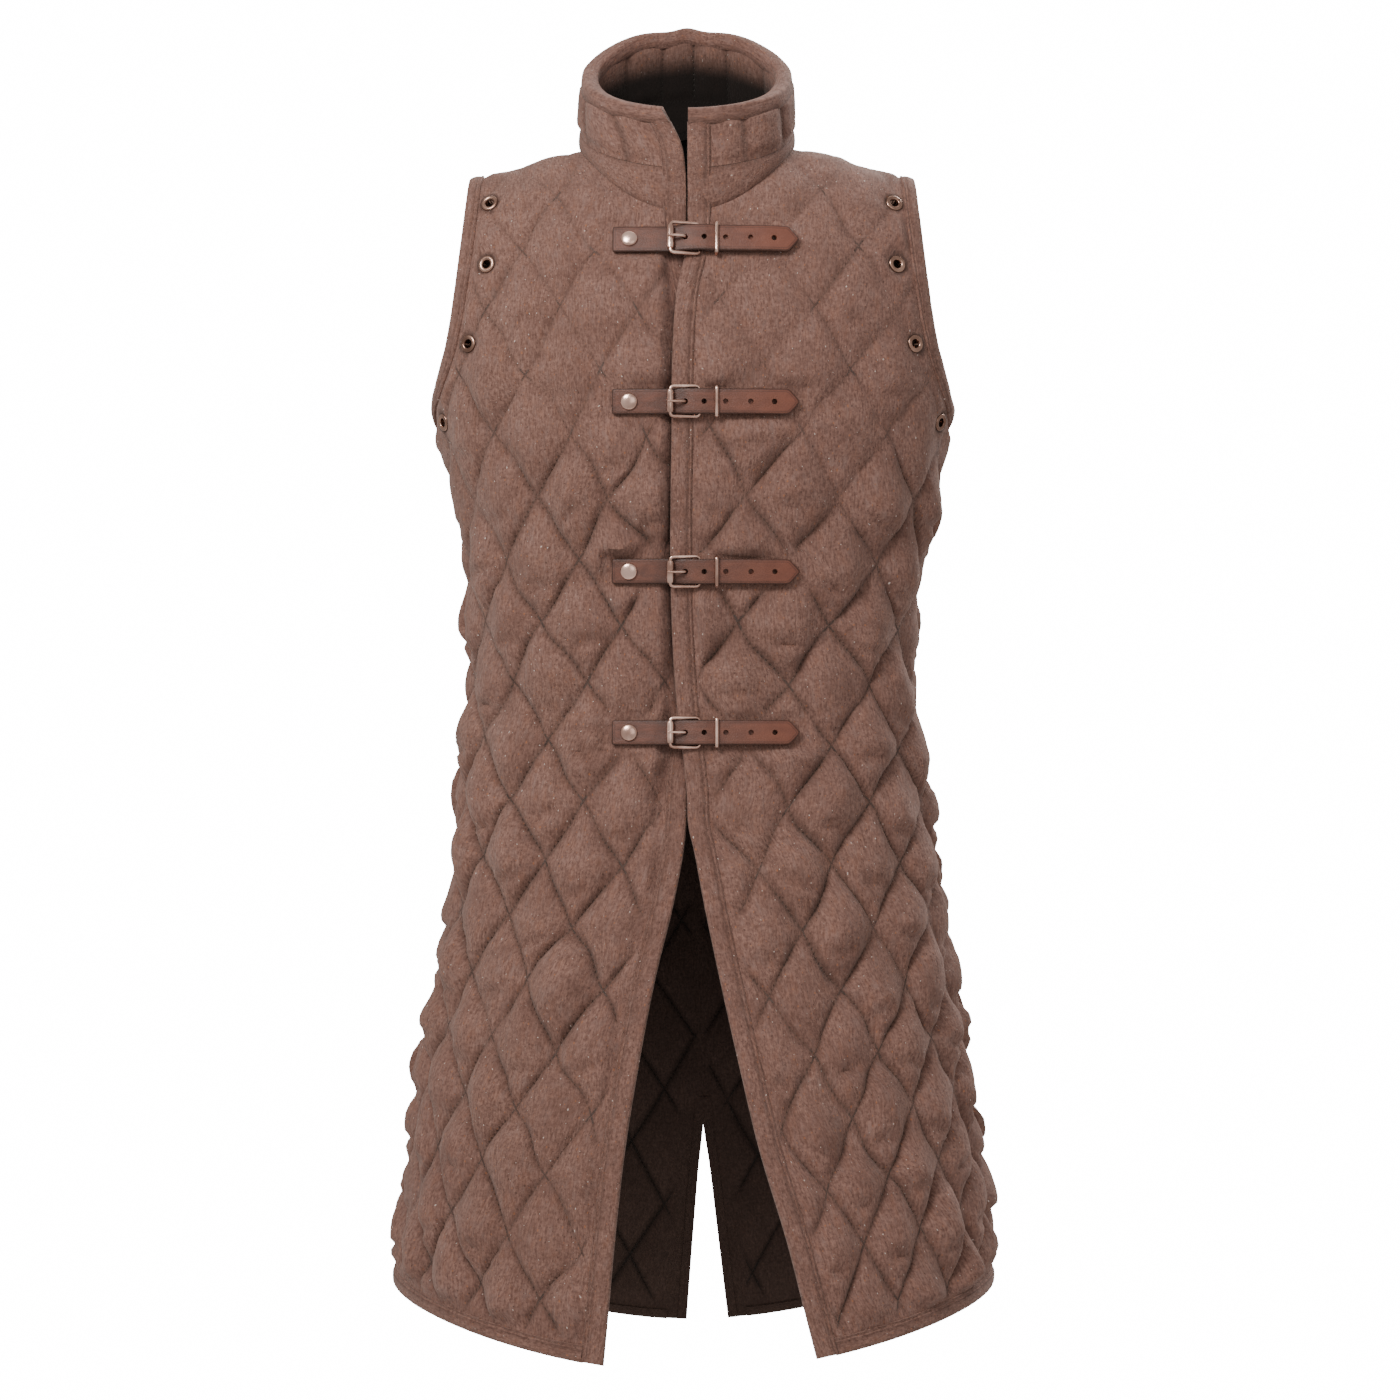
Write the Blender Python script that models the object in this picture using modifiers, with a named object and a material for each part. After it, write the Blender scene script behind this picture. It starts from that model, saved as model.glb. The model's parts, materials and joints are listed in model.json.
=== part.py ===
# Sleeveless quilted gambeson, standing in its worn form with nobody in it.
# Left and right are the wearer's: +X is the wearer's left. The front faces -Y.
# Lengths are in millimetres until a mesh is written, which is in metres.
# A drop is a depth below the point where the neck meets the shoulder.

import math

import bmesh
import bpy
import numpy as np
from mathutils import Vector
from mathutils.geometry import delaunay_2d_cdt

for old in list(bpy.data.objects):
    bpy.data.objects.remove(old, do_unlink=True)

MM = 0.001
RIGHT = -1
LEFT = 1
FRONT = -1
BACK = 1
SIDES = ((RIGHT, "right"), (LEFT, "left"))

# Body form
YOKE_DROP = 212.0
FORM_INSET = 8.0
SECTION_POWER = 2.35

SECTION_COLUMNS = ("drop", "right_half", "left_half", "front_depth", "back_depth")
SECTIONS = (
    (212, 209, 211, 130, 125),
    (240, 202, 203, 130, 124),
    (290, 190, 195, 127, 120),
    (340, 183, 187, 122, 114),
    (395, 180, 179, 118, 110),
    (443, 179, 181, 118, 112),
    (490, 183, 184, 121, 118),
    (541, 188, 192, 128, 127),
    (598, 196, 201, 141, 138),
    (660, 204, 208, 157, 150),
    (720, 213, 217, 172, 161),
    (788, 224, 228, 189, 174),
    (860, 236, 238, 207, 187),
    (930, 242, 245, 222, 196),
    (980, 246, 248, 232, 202),
)

FRONT_EDGE_COLUMNS = ("drop", "right_x", "left_x")
FRONT_EDGES = (
    (30, -4.4, -3.0),
    (88, -4.4, -3.2),
    (125, 3.0, -11.0),
    (165, 4.0, -14.0),
    (240, 4.0, -15.0),
    (323, 4.0, -16.0),
    (403, 4.0, -14.0),
    (462, 3.0, -9.5),
    (500, -3.0, -4.5),
    (520, -4.2, -2.8),
    (541, -5.0, -2.0),
    (560, -7.0, 2.3),
    (598, -14.0, 9.5),
    (660, -29.0, 22.5),
    (720, -40.5, 36.0),
    (788, -51.5, 52.2),
    (860, -59.5, 74.0),
    (923, -65.0, 90.0),
    (980, -70.5, 105.0),
)

BACK_EDGE_COLUMNS = ("drop", "right_x", "left_x")
BACK_EDGES = (
    (0, -0.1, 0.1),
    (480, -0.1, 0.1),
    (640, 3.4, 3.6),
    (760, 8.6, 8.8),
    (790, 8.6, 9.4),
    (830, 4.6, 15.0),
    (880, 0.5, 21.0),
    (980, -7.0, 33.0),
)

RIDGE_COLUMNS = ("across", "height")
RIDGE = (
    (0, 8),
    (40, 6),
    (83, 0),
    (130, -12),
    (178, -26),
    (215, -40),
)
BACK_NECK_RISE = 38.0
BACK_NECK_REACH = 70.0

ARMHOLE_COLUMNS = ("drop", "across")
ARMHOLE = (
    (26, 175.5),
    (50, 176.5),
    (77, 178.5),
    (120, 183.0),
    (165, 190.0),
    (190, 197.0),
    (204, 200.6),
)
ARM_DROPS = (38, 54, 74, 96, 119, 142, 163, 180, 193, 204)
SHOULDER_POINT = 11.0

HEM_SIDE_DROP = 905.0
HEM_FRONT_DIP = 50.0
HEM_BACK_DIP = 54.0
HEM_GUESS = 30.0

# Neck opening and stand collar
NECK_CENTRE_X = -4.0
NECK_HALF = 77.0
NECK_FRONT = 82.0
NECK_BACK = 52.0
NECK_POWER = 2.2
NECK_EDGE_DROP = 40.0
COLLAR_WALL = 8.0
COLLAR_INSIDE = -1.0
BAND_CLEARANCE = 1.3
BAND_BACK_CLEARANCE = 3.2
COLLAR_SEAM_GAP = 0.8
RIM_TAPER = 3.0
HEIGHT_PLACES = ("back", "side", "front", "raised corner")
RIM_HEIGHTS = (96.0, 56.0, 19.0, 6.5)
BAND_TOP_HEIGHTS = (42.0, 14.0, -25.0, 0.0)
CHANNEL_RELIEF = 3.0
CHANNELS = 12
CHANNEL_END = 0.036
CHANNEL_END_RUN = 0.03
COLLAR_ROWS = (0.0, 0.12, 0.45, 0.72, 1.0)
BAND_ROWS = (0.0, 0.5, 1.0)
BINDING_DEPTH = 10.0
BINDING_THICK = 1.3
BINDING_LIFT = 0.8
BINDING_ROUND = 1.2
BINDING_SHOULDER = 0.5
COLLAR_EDGE_COLUMNS = ("height", "right_x", "left_x")
COLLAR_EDGES = (
    (-60, -4.6, -3.0),
    (-25, -5.6, -3.0),
    (-8, -8.0, -3.0),
    (22, -23.0, -3.0),
)

# Cloth wall and quilting
WALL = 5.0
QUILT_WIDE = 64.0
QUILT_TALL = 95.0
QUILT_ROW_DROP = 289.0
QUILT_DIVISIONS = 4
PILLOW_COLUMNS = ("drop", "height")
PILLOWS = (
    (0, 1.6),
    (150, 2.4),
    (250, 4.0),
    (350, 5.4),
    (980, 6.2),
)
PILLOW_ROUNDNESS = 0.6
STRIP_FADE = 13.0
EYELET_FADE = 9.0
STRAP_FADE = 10.0
PLAIN_SEAMS = (
    ("seam", 0.0, 7.0),
    ("shoulder", 0.0, 12.0),
    ("neck", 10.0, 12.0),
    ("edge", 0.0, 9.0),
)
LINING_WIDE = 42.0
LINING_TALL = 62.0
LINING_START = 25.0
LINING_EDGE_CLEAR = 20.0
LINING_RING_CLEAR = 10.0
GRID_EDGE_CLEAR = 7.5
GRID_STRIP_CLEAR = 6.5
GRID_STRAP_CLEAR = 5.0
GRID_RING_CLEAR = 4.0

# Tuck of the right front beneath the left front
TUCK_DEPTH = 9.6
TUCK_FLAT = 21.0
TUCK_RUN = 17.0
TUCK_ZONE = (60.0, 84.0, 526.0, 576.0)

# Seams and strips
SEAM_GAP = 0.3
STRIP_LIFT = 0.4
ARM_LIFT = 1.0
STRIP_THICK = 1.2
STRIP_END = 0.05
STRIP_FOOT_RISE = 2.5
STRIP_TOP_GAP = 1.0
FRONT_STRIP = 16.0
HEM_STRIP = 15.0
ARM_STRIP = 14.0
SLIT_STRIP_DROP = 772.0
EDGE_STEP = 24.0
HEM_STEP = 18.0

# Eyelets of the armholes
EYELET_COLUMNS = ("across", "drop")
EYELETS = (
    (158.5, 52),
    (159.5, 101),
    (173.0, 163),
    (193.0, 222),
)
EYELET_HOLE = 3.9
EYELET_BORE = 2.9
EYELET_BARREL = 3.4
EYELET_FLANGE = 6.2
EYELET_PLATE = 0.8
EYELET_SEAT = 0.35
EYELET_SIDES = 10
EYELET_PAD = 7.4
EYELET_PAD_EDGE = 0.3
EYELET_BACK_FLANGE = 5.4

# Straps and buckles
STRAP_DROPS = (86.0, 211.0, 342.0, 469.0)
STRAP_HALF = 9.8
STRAP_START_X = -61.0
STRAP_TIP_X = 82.0
STRAP_POINT = 10.0
STRAP_NOSE = ((-6.6, 8.3), (-0.7, 1.6))
STRAP_THICK = 2.2
STRAP_STEP = 9.0
TONGUE_COLUMNS = ("across", "seat")
TONGUE = (
    (-64, 6.9),
    (-25, 6.9),
    (-16, 7.1),
    (-7, 9.7),
    (2, 10.8),
    (11, 10.8),
    (20, 9.5),
    (56, 9.5),
    (84, 8.0),
)
STRAP_HOLES_X = (-5.0, 9.5, 26.0, 45.0, 63.0)
STRAP_HOLE_RADIUS = 2.1
STRAP_HOLE_SIDES = 8
BUCKLE_STRAP_X = (9.8, 53.0)
BUCKLE_STRAP_SEAT = 6.9
BUCKLE_STRAP_THICK = 2.0
BUCKLE_STRAP_HALF = 9.4
BUCKLE_STRAP_STATIONS = 6
WIRE_RADIUS = 1.4
BUCKLE_REAR_X = 6.0
BUCKLE_ROLLER_X = -16.5
BUCKLE_REAR_RISE = 8.6
BUCKLE_ROLLER_RISE = 12.2
BUCKLE_HALF = 11.7
BUCKLE_CORNER = 2.5
ROLLER_END = 1.2
ROLLER_RADIUS = 2.0
PRONG_RADIUS = 1.0
PRONG_PATH = ((-4.8, 10.4), (-5.4, 13.4), (-8.0, 14.6), (-12.6, 15.4), (-18.6, 15.8))
PRONG_TIP = 0.7
KEEPER_X = 19.0
KEEPER_WIDE = 2.6
KEEPER_THICK = 1.0
KEEPER_SEAT = 5.7
KEEPER_TOP = 12.3
KEEPER_HALF = 10.5
KEEPER_CORNER = 0.8
RIVET_X = -48.0
RIVET_RADIUS = 6.0
RIVET_RISE = 2.2
RIVET_SEAT = 0.35
RIVET_PROFILE_COLUMNS = ("radius", "height")
RIVET_PROFILE = (
    (0.0, 1.0),
    (0.45, 0.86),
    (0.8, 0.52),
    (1.0, 0.14),
    (1.0, 0.0),
    (0.0, 0.0),
)
STRAP_PAD = 12.0
STRAP_PAD_RUN = 8.0
STRAP_PAD_ENDS = (-66.0, 88.0)
STRAP_LINE_START = 21.0
STRAP_LINE_STEP = 11.0

CLOTH = (0.27, 0.165, 0.125, 1.0)
LEATHER = (0.23, 0.085, 0.05, 1.0)
METAL = (0.34, 0.22, 0.16, 1.0)
LOOKS = {
    "cloth": (CLOTH, 0.95, 0.0),
    "leather": (LEATHER, 0.5, 0.0),
    "metal": (METAL, 0.35, 1.0),
}


def columns(names, rows):
    return dict(zip(names, np.array(rows, dtype=float).T))


SECTION = columns(SECTION_COLUMNS, SECTIONS)
FRONT_EDGE = columns(FRONT_EDGE_COLUMNS, FRONT_EDGES)
BACK_EDGE = columns(BACK_EDGE_COLUMNS, BACK_EDGES)
RIDGE_TABLE = columns(RIDGE_COLUMNS, RIDGE)
ARM_TABLE = columns(ARMHOLE_COLUMNS, ARMHOLE)
COLLAR_EDGE = columns(COLLAR_EDGE_COLUMNS, COLLAR_EDGES)
PILLOW_TABLE = columns(PILLOW_COLUMNS, PILLOWS)
TONGUE_TABLE = columns(TONGUE_COLUMNS, TONGUE)
EYELET_TABLE = columns(EYELET_COLUMNS, EYELETS)


def curve(x, xs, ys):
    """Smooth curve through the points of a table, held flat beyond its ends."""
    x = np.clip(x, xs[0], xs[-1])
    slopes = np.gradient(ys, xs)
    i = np.clip(np.searchsorted(xs, x) - 1, 0, len(xs) - 2)
    span = xs[i + 1] - xs[i]
    t = (x - xs[i]) / span
    start = ys[i] * (1 + 2 * t) + slopes[i] * span * t
    end = ys[i + 1] * (3 - 2 * t) - slopes[i + 1] * span * (1 - t)
    return start * (1 - t) ** 2 + end * t**2


def ramp(x):
    x = np.clip(x, 0.0, 1.0)
    return x * x * (3 - 2 * x)


def half_width(side, drop):
    name = "left_half" if side > 0 else "right_half"
    return curve(drop, SECTION["drop"], SECTION[name]) - FORM_INSET


def depth(face, drop):
    name = "back_depth" if face > 0 else "front_depth"
    return curve(drop, SECTION["drop"], SECTION[name]) - FORM_INSET


def edge_x(side, face, drop):
    table = BACK_EDGE if face > 0 else FRONT_EDGE
    name = "left_x" if side > 0 else "right_x"
    return curve(drop, table["drop"], table[name])


def polar_radius(a, b, phi, power):
    return ((np.abs(np.sin(phi)) / a) ** power + (np.abs(np.cos(phi)) / b) ** power) ** (-1 / power)


def angle_of_x(side, face, x, drop):
    """Angle round a section, from the centre line, of the point at x."""
    e = side * x
    a = half_width(side, drop)
    inside = np.clip(1 - np.minimum(np.abs(e) / a, 1.0) ** SECTION_POWER, 0.0, 1.0)
    return np.arctan2(e, depth(face, drop) * inside ** (1 / SECTION_POWER))


SWEEP = np.concatenate(([-0.12], np.linspace(0, 1, 57), [1.04]))
SWEEP_START = 1


def arc_table(side, face, drop):
    """Angles and distances along each section from the panel's centre edge."""
    start = angle_of_x(side, face, edge_x(side, face, drop), drop)
    phi = start[:, None] + SWEEP[None, :] * (math.pi / 2 - start)[:, None]
    a = half_width(side, drop)[:, None]
    b = depth(face, drop)[:, None]
    r = polar_radius(a, b, phi, SECTION_POWER)
    steps = np.hypot(np.diff(r * np.sin(phi)), np.diff(r * np.cos(phi)))
    u = np.concatenate((np.zeros((len(drop), 1)), np.cumsum(steps, axis=1)), axis=1)
    return phi, u - u[:, SWEEP_START][:, None]


def lookup(table_x, table_y, x):
    """Row by row linear interpolation."""
    i = np.clip((table_x < x[:, None]).sum(axis=1) - 1, 0, table_x.shape[1] - 2)
    rows = np.arange(len(x))
    x0 = table_x[rows, i]
    x1 = table_x[rows, i + 1]
    y0 = table_y[rows, i]
    y1 = table_y[rows, i + 1]
    return y0 + (y1 - y0) * (x - x0) / (x1 - x0)


PSI = np.radians(np.linspace(0, 100, 41))


def ridge_height(face, across):
    height = curve(across, RIDGE_TABLE["across"], RIDGE_TABLE["height"])
    rise = np.clip(1 - (across / BACK_NECK_REACH) ** 2, 0, 1) ** 2
    return height + (BACK_NECK_RISE * rise if face > 0 else 0.0) - FORM_INSET


def yoke_table(b, h):
    """Distance up the rounded yoke against the angle of its profile."""
    y = b[:, None] * np.cos(PSI)[None, :]
    z = h[:, None] * np.sin(PSI)[None, :]
    steps = np.hypot(np.diff(y), np.diff(z))
    s = np.concatenate((np.zeros((len(b), 1)), np.cumsum(steps, axis=1)), axis=1)
    return s, np.repeat(PSI[None, :], len(b), axis=0)


def base_point(side, face, u, v):
    """Point of the inner surface: u round the body, v down it."""
    low = np.maximum(v, YOKE_DROP)
    phi_table, u_table = arc_table(side, face, low)
    phi = lookup(u_table, phi_table, u)
    r = polar_radius(half_width(side, low), depth(face, low), phi, SECTION_POWER)
    px = r * np.sin(phi)
    py = r * np.cos(phi)
    h = ridge_height(face, np.abs(px)) + YOKE_DROP
    rise = np.maximum(YOKE_DROP - v, 0.0)
    s, psi_table = yoke_table(np.maximum(py, 0.5), h)
    psi = lookup(s, psi_table, rise)
    psi = np.where(rise > 0, psi, 0.0)
    return np.stack((side * px, face * py * np.cos(psi), h * np.sin(psi) - low), axis=1)


def surface_normal(side, face, u, v):
    d = 0.5
    du = base_point(side, face, u + d, v) - base_point(side, face, u - d, v)
    dv = base_point(side, face, u, v + d) - base_point(side, face, u, v - d)
    n = np.cross(du, dv) * side * face
    return n / np.linalg.norm(n, axis=1)[:, None]


def tuck(side, face, u, drop):
    if (side, face) != (RIGHT, FRONT):
        return np.zeros(len(u))
    zone = ramp((drop - TUCK_ZONE[0]) / (TUCK_ZONE[1] - TUCK_ZONE[0]))
    zone = zone * ramp((TUCK_ZONE[3] - drop) / (TUCK_ZONE[3] - TUCK_ZONE[2]))
    return TUCK_DEPTH * zone * ramp((TUCK_FLAT + TUCK_RUN - u) / TUCK_RUN)


def place(side, face, uv, out):
    """Points of a panel at the distance out from its inner surface."""
    u = uv[:, 0]
    v = uv[:, 1]
    p = base_point(side, face, u, v)
    rise = out - tuck(side, face, u, -p[:, 2])
    return p + surface_normal(side, face, u, v) * rise[:, None]


def u_of_angle(side, face, phi, drop):
    phi_table, u_table = arc_table(side, face, drop)
    return lookup(phi_table, u_table, phi)


def flat_of(side, face, x, z):
    """The panel's own u and v of a point known by its x and z."""
    x = np.atleast_1d(np.asarray(x, dtype=float))
    z = np.broadcast_to(np.asarray(z, dtype=float), x.shape)
    low = np.maximum(-z, YOKE_DROP)
    phi = angle_of_x(side, face, x, low)
    u = u_of_angle(side, face, phi, low)
    b = polar_radius(half_width(side, low), depth(face, low), phi, SECTION_POWER) * np.cos(phi)
    h = ridge_height(face, np.abs(x)) + YOKE_DROP
    psi = np.arcsin(np.clip((z + YOKE_DROP) / h, 0, 1))
    s, psi_table = yoke_table(np.maximum(b, 0.5), h)
    rise = lookup(psi_table, s, psi)
    v = np.where(z > -YOKE_DROP, YOKE_DROP - rise, -z)
    return np.stack((u, v), axis=1)


def chest(x, z, out):
    """Point over the closed front, the tuck left out, with its outward distance."""
    points = np.zeros((len(x), 3))
    for side, _ in SIDES:
        mask = (x >= 0) if side > 0 else (x < 0)
        if mask.any():
            uv = flat_of(side, FRONT, x[mask], z[mask])
            base = base_point(side, FRONT, uv[:, 0], uv[:, 1])
            n = surface_normal(side, FRONT, uv[:, 0], uv[:, 1])
            points[mask] = base + n * out[mask][:, None]
    return points


def neck_plan(side, face, gamma, grow):
    """Plan of the neck: gamma runs from the centre line to the side."""
    b = (NECK_BACK if face > 0 else NECK_FRONT) + grow
    r = polar_radius(NECK_HALF + grow, b, gamma, NECK_POWER)
    return NECK_CENTRE_X + side * r * np.sin(gamma), face * r * np.cos(gamma)


def neck_angle(side, face, x, grow):
    e = abs(x - NECK_CENTRE_X) * (1 if side * (x - NECK_CENTRE_X) >= 0 else -1)
    b = (NECK_BACK if face > 0 else NECK_FRONT) + grow
    y = b * (1 - (abs(e) / (NECK_HALF + grow)) ** NECK_POWER) ** (1 / NECK_POWER)
    return math.atan2(e, y)


def yoke_height(side, face, x, y, out):
    """Height of the yoke over a plan point, out from its inner surface."""
    low = np.full(len(x), YOKE_DROP)
    phi = angle_of_x(side, face, x, low)
    b = polar_radius(half_width(side, low), depth(face, low), phi, SECTION_POWER) * np.cos(phi)
    h = ridge_height(face, np.abs(x)) + YOKE_DROP
    cosine = np.clip(np.abs(y) / (b + out), 0, 1)
    return (h + out) * np.sqrt(1 - cosine**2) - YOKE_DROP


def hem_drop(face, phi):
    dip = HEM_BACK_DIP if face > 0 else HEM_FRONT_DIP
    return HEM_SIDE_DROP + dip * np.cos(phi) ** 2


def hem_point(side, face, u):
    v = HEM_SIDE_DROP + HEM_GUESS
    for _ in range(6):
        phi_table, u_table = arc_table(side, face, np.array([v]))
        phi = lookup(u_table, phi_table, np.array([float(u)]))[0]
        v = hem_drop(face, phi)
    return (float(u), float(v))


def side_length(side, face, drop):
    return float(u_of_angle(side, face, np.array([math.pi / 2]), np.array([float(drop)]))[0])


def offset_line(points, distance):
    """A line beside a polyline, on the hand that faces the panel."""
    p = np.array(points)
    t = np.gradient(p, axis=0)
    t = t / np.linalg.norm(t, axis=1)[:, None]
    return p + distance * np.stack((-t[:, 1], t[:, 0]), axis=1)


def drops_between(top, bottom, step):
    count = max(2, int(round((bottom - top) / step)) + 1)
    return np.linspace(top, bottom, count)


def panel_cut(side, face):
    """Outline of a panel in u and v, in named runs, with the inner lines of its strips."""
    corner = hem_point(side, face, 0)[1]
    hem_in = hem_point(side, face, FRONT_STRIP)
    strip_top = corner - HEM_STRIP

    # Centre edge, from the hem up to the neck
    if face > 0:
        lower = drops_between(SLIT_STRIP_DROP, strip_top, EDGE_STEP)
        upper = drops_between(YOKE_DROP, SLIT_STRIP_DROP, EDGE_STEP)
        drops = np.concatenate(([corner], lower[::-1], upper[::-1][1:]))
    else:
        drops = np.concatenate(([corner], drops_between(YOKE_DROP, strip_top, EDGE_STEP)[::-1]))
    edge = [(0.0, v) for v in drops]
    neck_x = float(edge_x(side, face, np.array([NECK_EDGE_DROP]))[0])
    gamma0 = neck_angle(side, face, neck_x, 0.0)
    x0, y0 = neck_plan(side, face, np.array([gamma0]), 0.0)
    pit = float(yoke_height(side, face, x0, y0, 0.0)[0])
    for z in np.linspace(-YOKE_DROP, pit, 8)[1:]:
        x = edge_x(side, face, np.array([-z]))
        edge.append(tuple(flat_of(side, face, x, z)[0]))

    # Neck line, out to the shoulder
    gamma_strip = neck_angle(side, face, neck_x + side * FRONT_STRIP, 0.0)
    gammas = np.concatenate(([gamma_strip], np.linspace(gamma_strip, math.pi / 2, 9)[1:]))
    if face > 0:
        gammas = np.linspace(gamma0, math.pi / 2, 9)[1:]
    nx, ny = neck_plan(side, face, gammas, 0.0)
    nz = yoke_height(side, face, nx, ny, 0.0)
    neck = [edge[-1]] + [tuple(p) for p in flat_of(side, face, nx, nz)]

    # Shoulder seam, with a point where the armhole strip ends
    tip_x = ARM_TABLE["across"][0]
    across = np.concatenate((np.linspace(abs(nx[-1]), tip_x - SHOULDER_POINT, 6), [tip_x]))
    ridge = ridge_height(face, across)
    shoulder = [tuple(p) for p in flat_of(side, face, side * across, ridge)]
    neck[-1] = shoulder[0]

    # Armhole, from the shoulder tip down to the side seam
    arm_drops = np.array(ARM_DROPS, dtype=float)
    arm_x = curve(arm_drops, ARM_TABLE["drop"], ARM_TABLE["across"])
    arm = [tuple(p) for p in flat_of(side, face, side * arm_x, -arm_drops)]
    arm = [shoulder[-1]] + arm + [(side_length(side, face, YOKE_DROP), YOKE_DROP)]

    # Side seam, down to the hem
    foot = HEM_SIDE_DROP
    drops = drops_between(YOKE_DROP + ARM_STRIP, foot - HEM_STRIP, EDGE_STEP)
    seam = [arm[-1]] + [(side_length(side, face, v), v) for v in drops]
    seam.append((side_length(side, face, foot), foot))

    # Hem, back to the centre edge
    around = drops_between(FRONT_STRIP, seam[-1][0], HEM_STEP)
    hem = [seam[-1]] + [hem_point(side, face, u) for u in around[::-1][1:]] + [edge[0]]

    runs = {"edge": edge, "neck": neck, "shoulder": shoulder, "arm": arm, "seam": seam, "hem": hem}
    order = ("edge", "neck", "shoulder", "arm", "seam", "hem")
    loop = []
    for name in order:
        loop.extend(runs[name][:-1])
    loop = inset(loop, SEAM_GAP / 2)
    start = 0
    for name in order:
        count = len(runs[name])
        index = [(start + k) % len(loop) for k in range(count)]
        runs[name] = [loop[k] for k in index]
        start += count - 1

    # Inner lines of the strips
    front_count = len(runs["edge"])
    if face > 0:
        front_count = 1 + len(lower)
    front_in = [(u + FRONT_STRIP, v) for u, v in runs["edge"][:front_count]]
    front_in[0] = runs["hem"][-2]
    front_in[1] = (hem_in[0] + SEAM_GAP / 2, hem_in[1] - HEM_STRIP)
    if face < 0:
        front_in[-1] = runs["neck"][1]
    hem_line = [(u, v - HEM_STRIP) for u, v in runs["hem"][:-1]]
    hem_line[0] = runs["seam"][-2]
    hem_line[-1] = front_in[1]
    arm_line = [tuple(p) for p in offset_line(runs["arm"], ARM_STRIP)]
    arm_line[0] = runs["shoulder"][-2]
    arm_line[-1] = runs["seam"][1]
    inner = {"edge": front_in, "hem": hem_line, "arm": arm_line}
    return runs, inner, loop


def inset(loop, distance):
    p = np.array(loop)
    before = p - np.roll(p, 1, axis=0)
    after = np.roll(p, -1, axis=0) - p
    before = before / np.linalg.norm(before, axis=1)[:, None]
    after = after / np.linalg.norm(after, axis=1)[:, None]
    n0 = np.stack((-before[:, 1], before[:, 0]), axis=1)
    n1 = np.stack((-after[:, 1], after[:, 0]), axis=1)
    middle = n0 + n1
    scale = distance / np.maximum(np.sum(middle * n0, axis=1), 0.3)
    area = 0.5 * np.sum(p[:, 0] * np.roll(p[:, 1], -1) - p[:, 1] * np.roll(p[:, 0], -1))
    hand = 1.0 if area > 0 else -1.0
    return [tuple(q) for q in p + hand * middle * scale[:, None]]


def distance_to_line(points, line):
    """Distance from each point to an open polyline."""
    line = np.array(line)
    best = np.full(len(points), 1e9)
    for a, b in zip(line[:-1], line[1:]):
        d = b - a
        t = np.clip(((points - a) @ d) / (d @ d), 0, 1)
        best = np.minimum(best, np.linalg.norm(points - a - t[:, None] * d, axis=1))
    return best


def inside(points, loop):
    loop = np.array(loop)
    x = points[:, 0]
    y = points[:, 1]
    result = np.zeros(len(points), dtype=bool)
    for (x0, y0), (x1, y1) in zip(loop, np.roll(loop, -1, axis=0)):
        crosses = (y0 > y) != (y1 > y)
        if crosses.any():
            result ^= crosses & (x < (x1 - x0) * (y - y0) / (y1 - y0 + 1e-12) + x0)
    return result


def eyelet_frames(side, face):
    """Centre in u and v of each eyelet, with the two steps that draw a true circle there."""
    frames = []
    for across, drop in zip(EYELET_TABLE["across"], EYELET_TABLE["drop"]):
        c = flat_of(side, face, np.array([side * across]), -drop)[0]
        u = np.array([c[0]])
        v = np.array([c[1]])
        tu = (base_point(side, face, u + 1, v) - base_point(side, face, u - 1, v))[0] / 2
        tv = (base_point(side, face, u, v + 1) - base_point(side, face, u, v - 1))[0] / 2
        n = surface_normal(side, face, u, v)[0]
        e1 = tu / np.linalg.norm(tu)
        e2 = np.cross(n, e1)
        frame = np.linalg.lstsq(np.stack((tu, tv), axis=1), np.stack((e1, e2), axis=1), rcond=None)[0]
        frames.append((c, frame, e1, e2, n))
    return frames


def press_flat(points, uv, frames, rise, side, face):
    """Presses the cloth flat about each eyelet."""
    for frame in frames:
        away = np.linalg.norm((uv - frame[0]) @ np.linalg.inv(frame[1]).T, axis=1)
        n = frame[4]
        centre = place(side, face, np.array([frame[0]]), np.array([rise]))[0]
        near = away < EYELET_PAD + EYELET_PAD_EDGE
        points[near] -= ((points[near] - centre) @ n)[:, None] * n
    return points


def ring_of(frame, radius, sides):
    c, steps = frame[0], frame[1]
    angles = 2 * math.pi * (np.arange(sides) + 0.5) / sides
    return [tuple(c + steps @ (radius * math.cos(t), radius * math.sin(t))) for t in angles]


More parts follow.
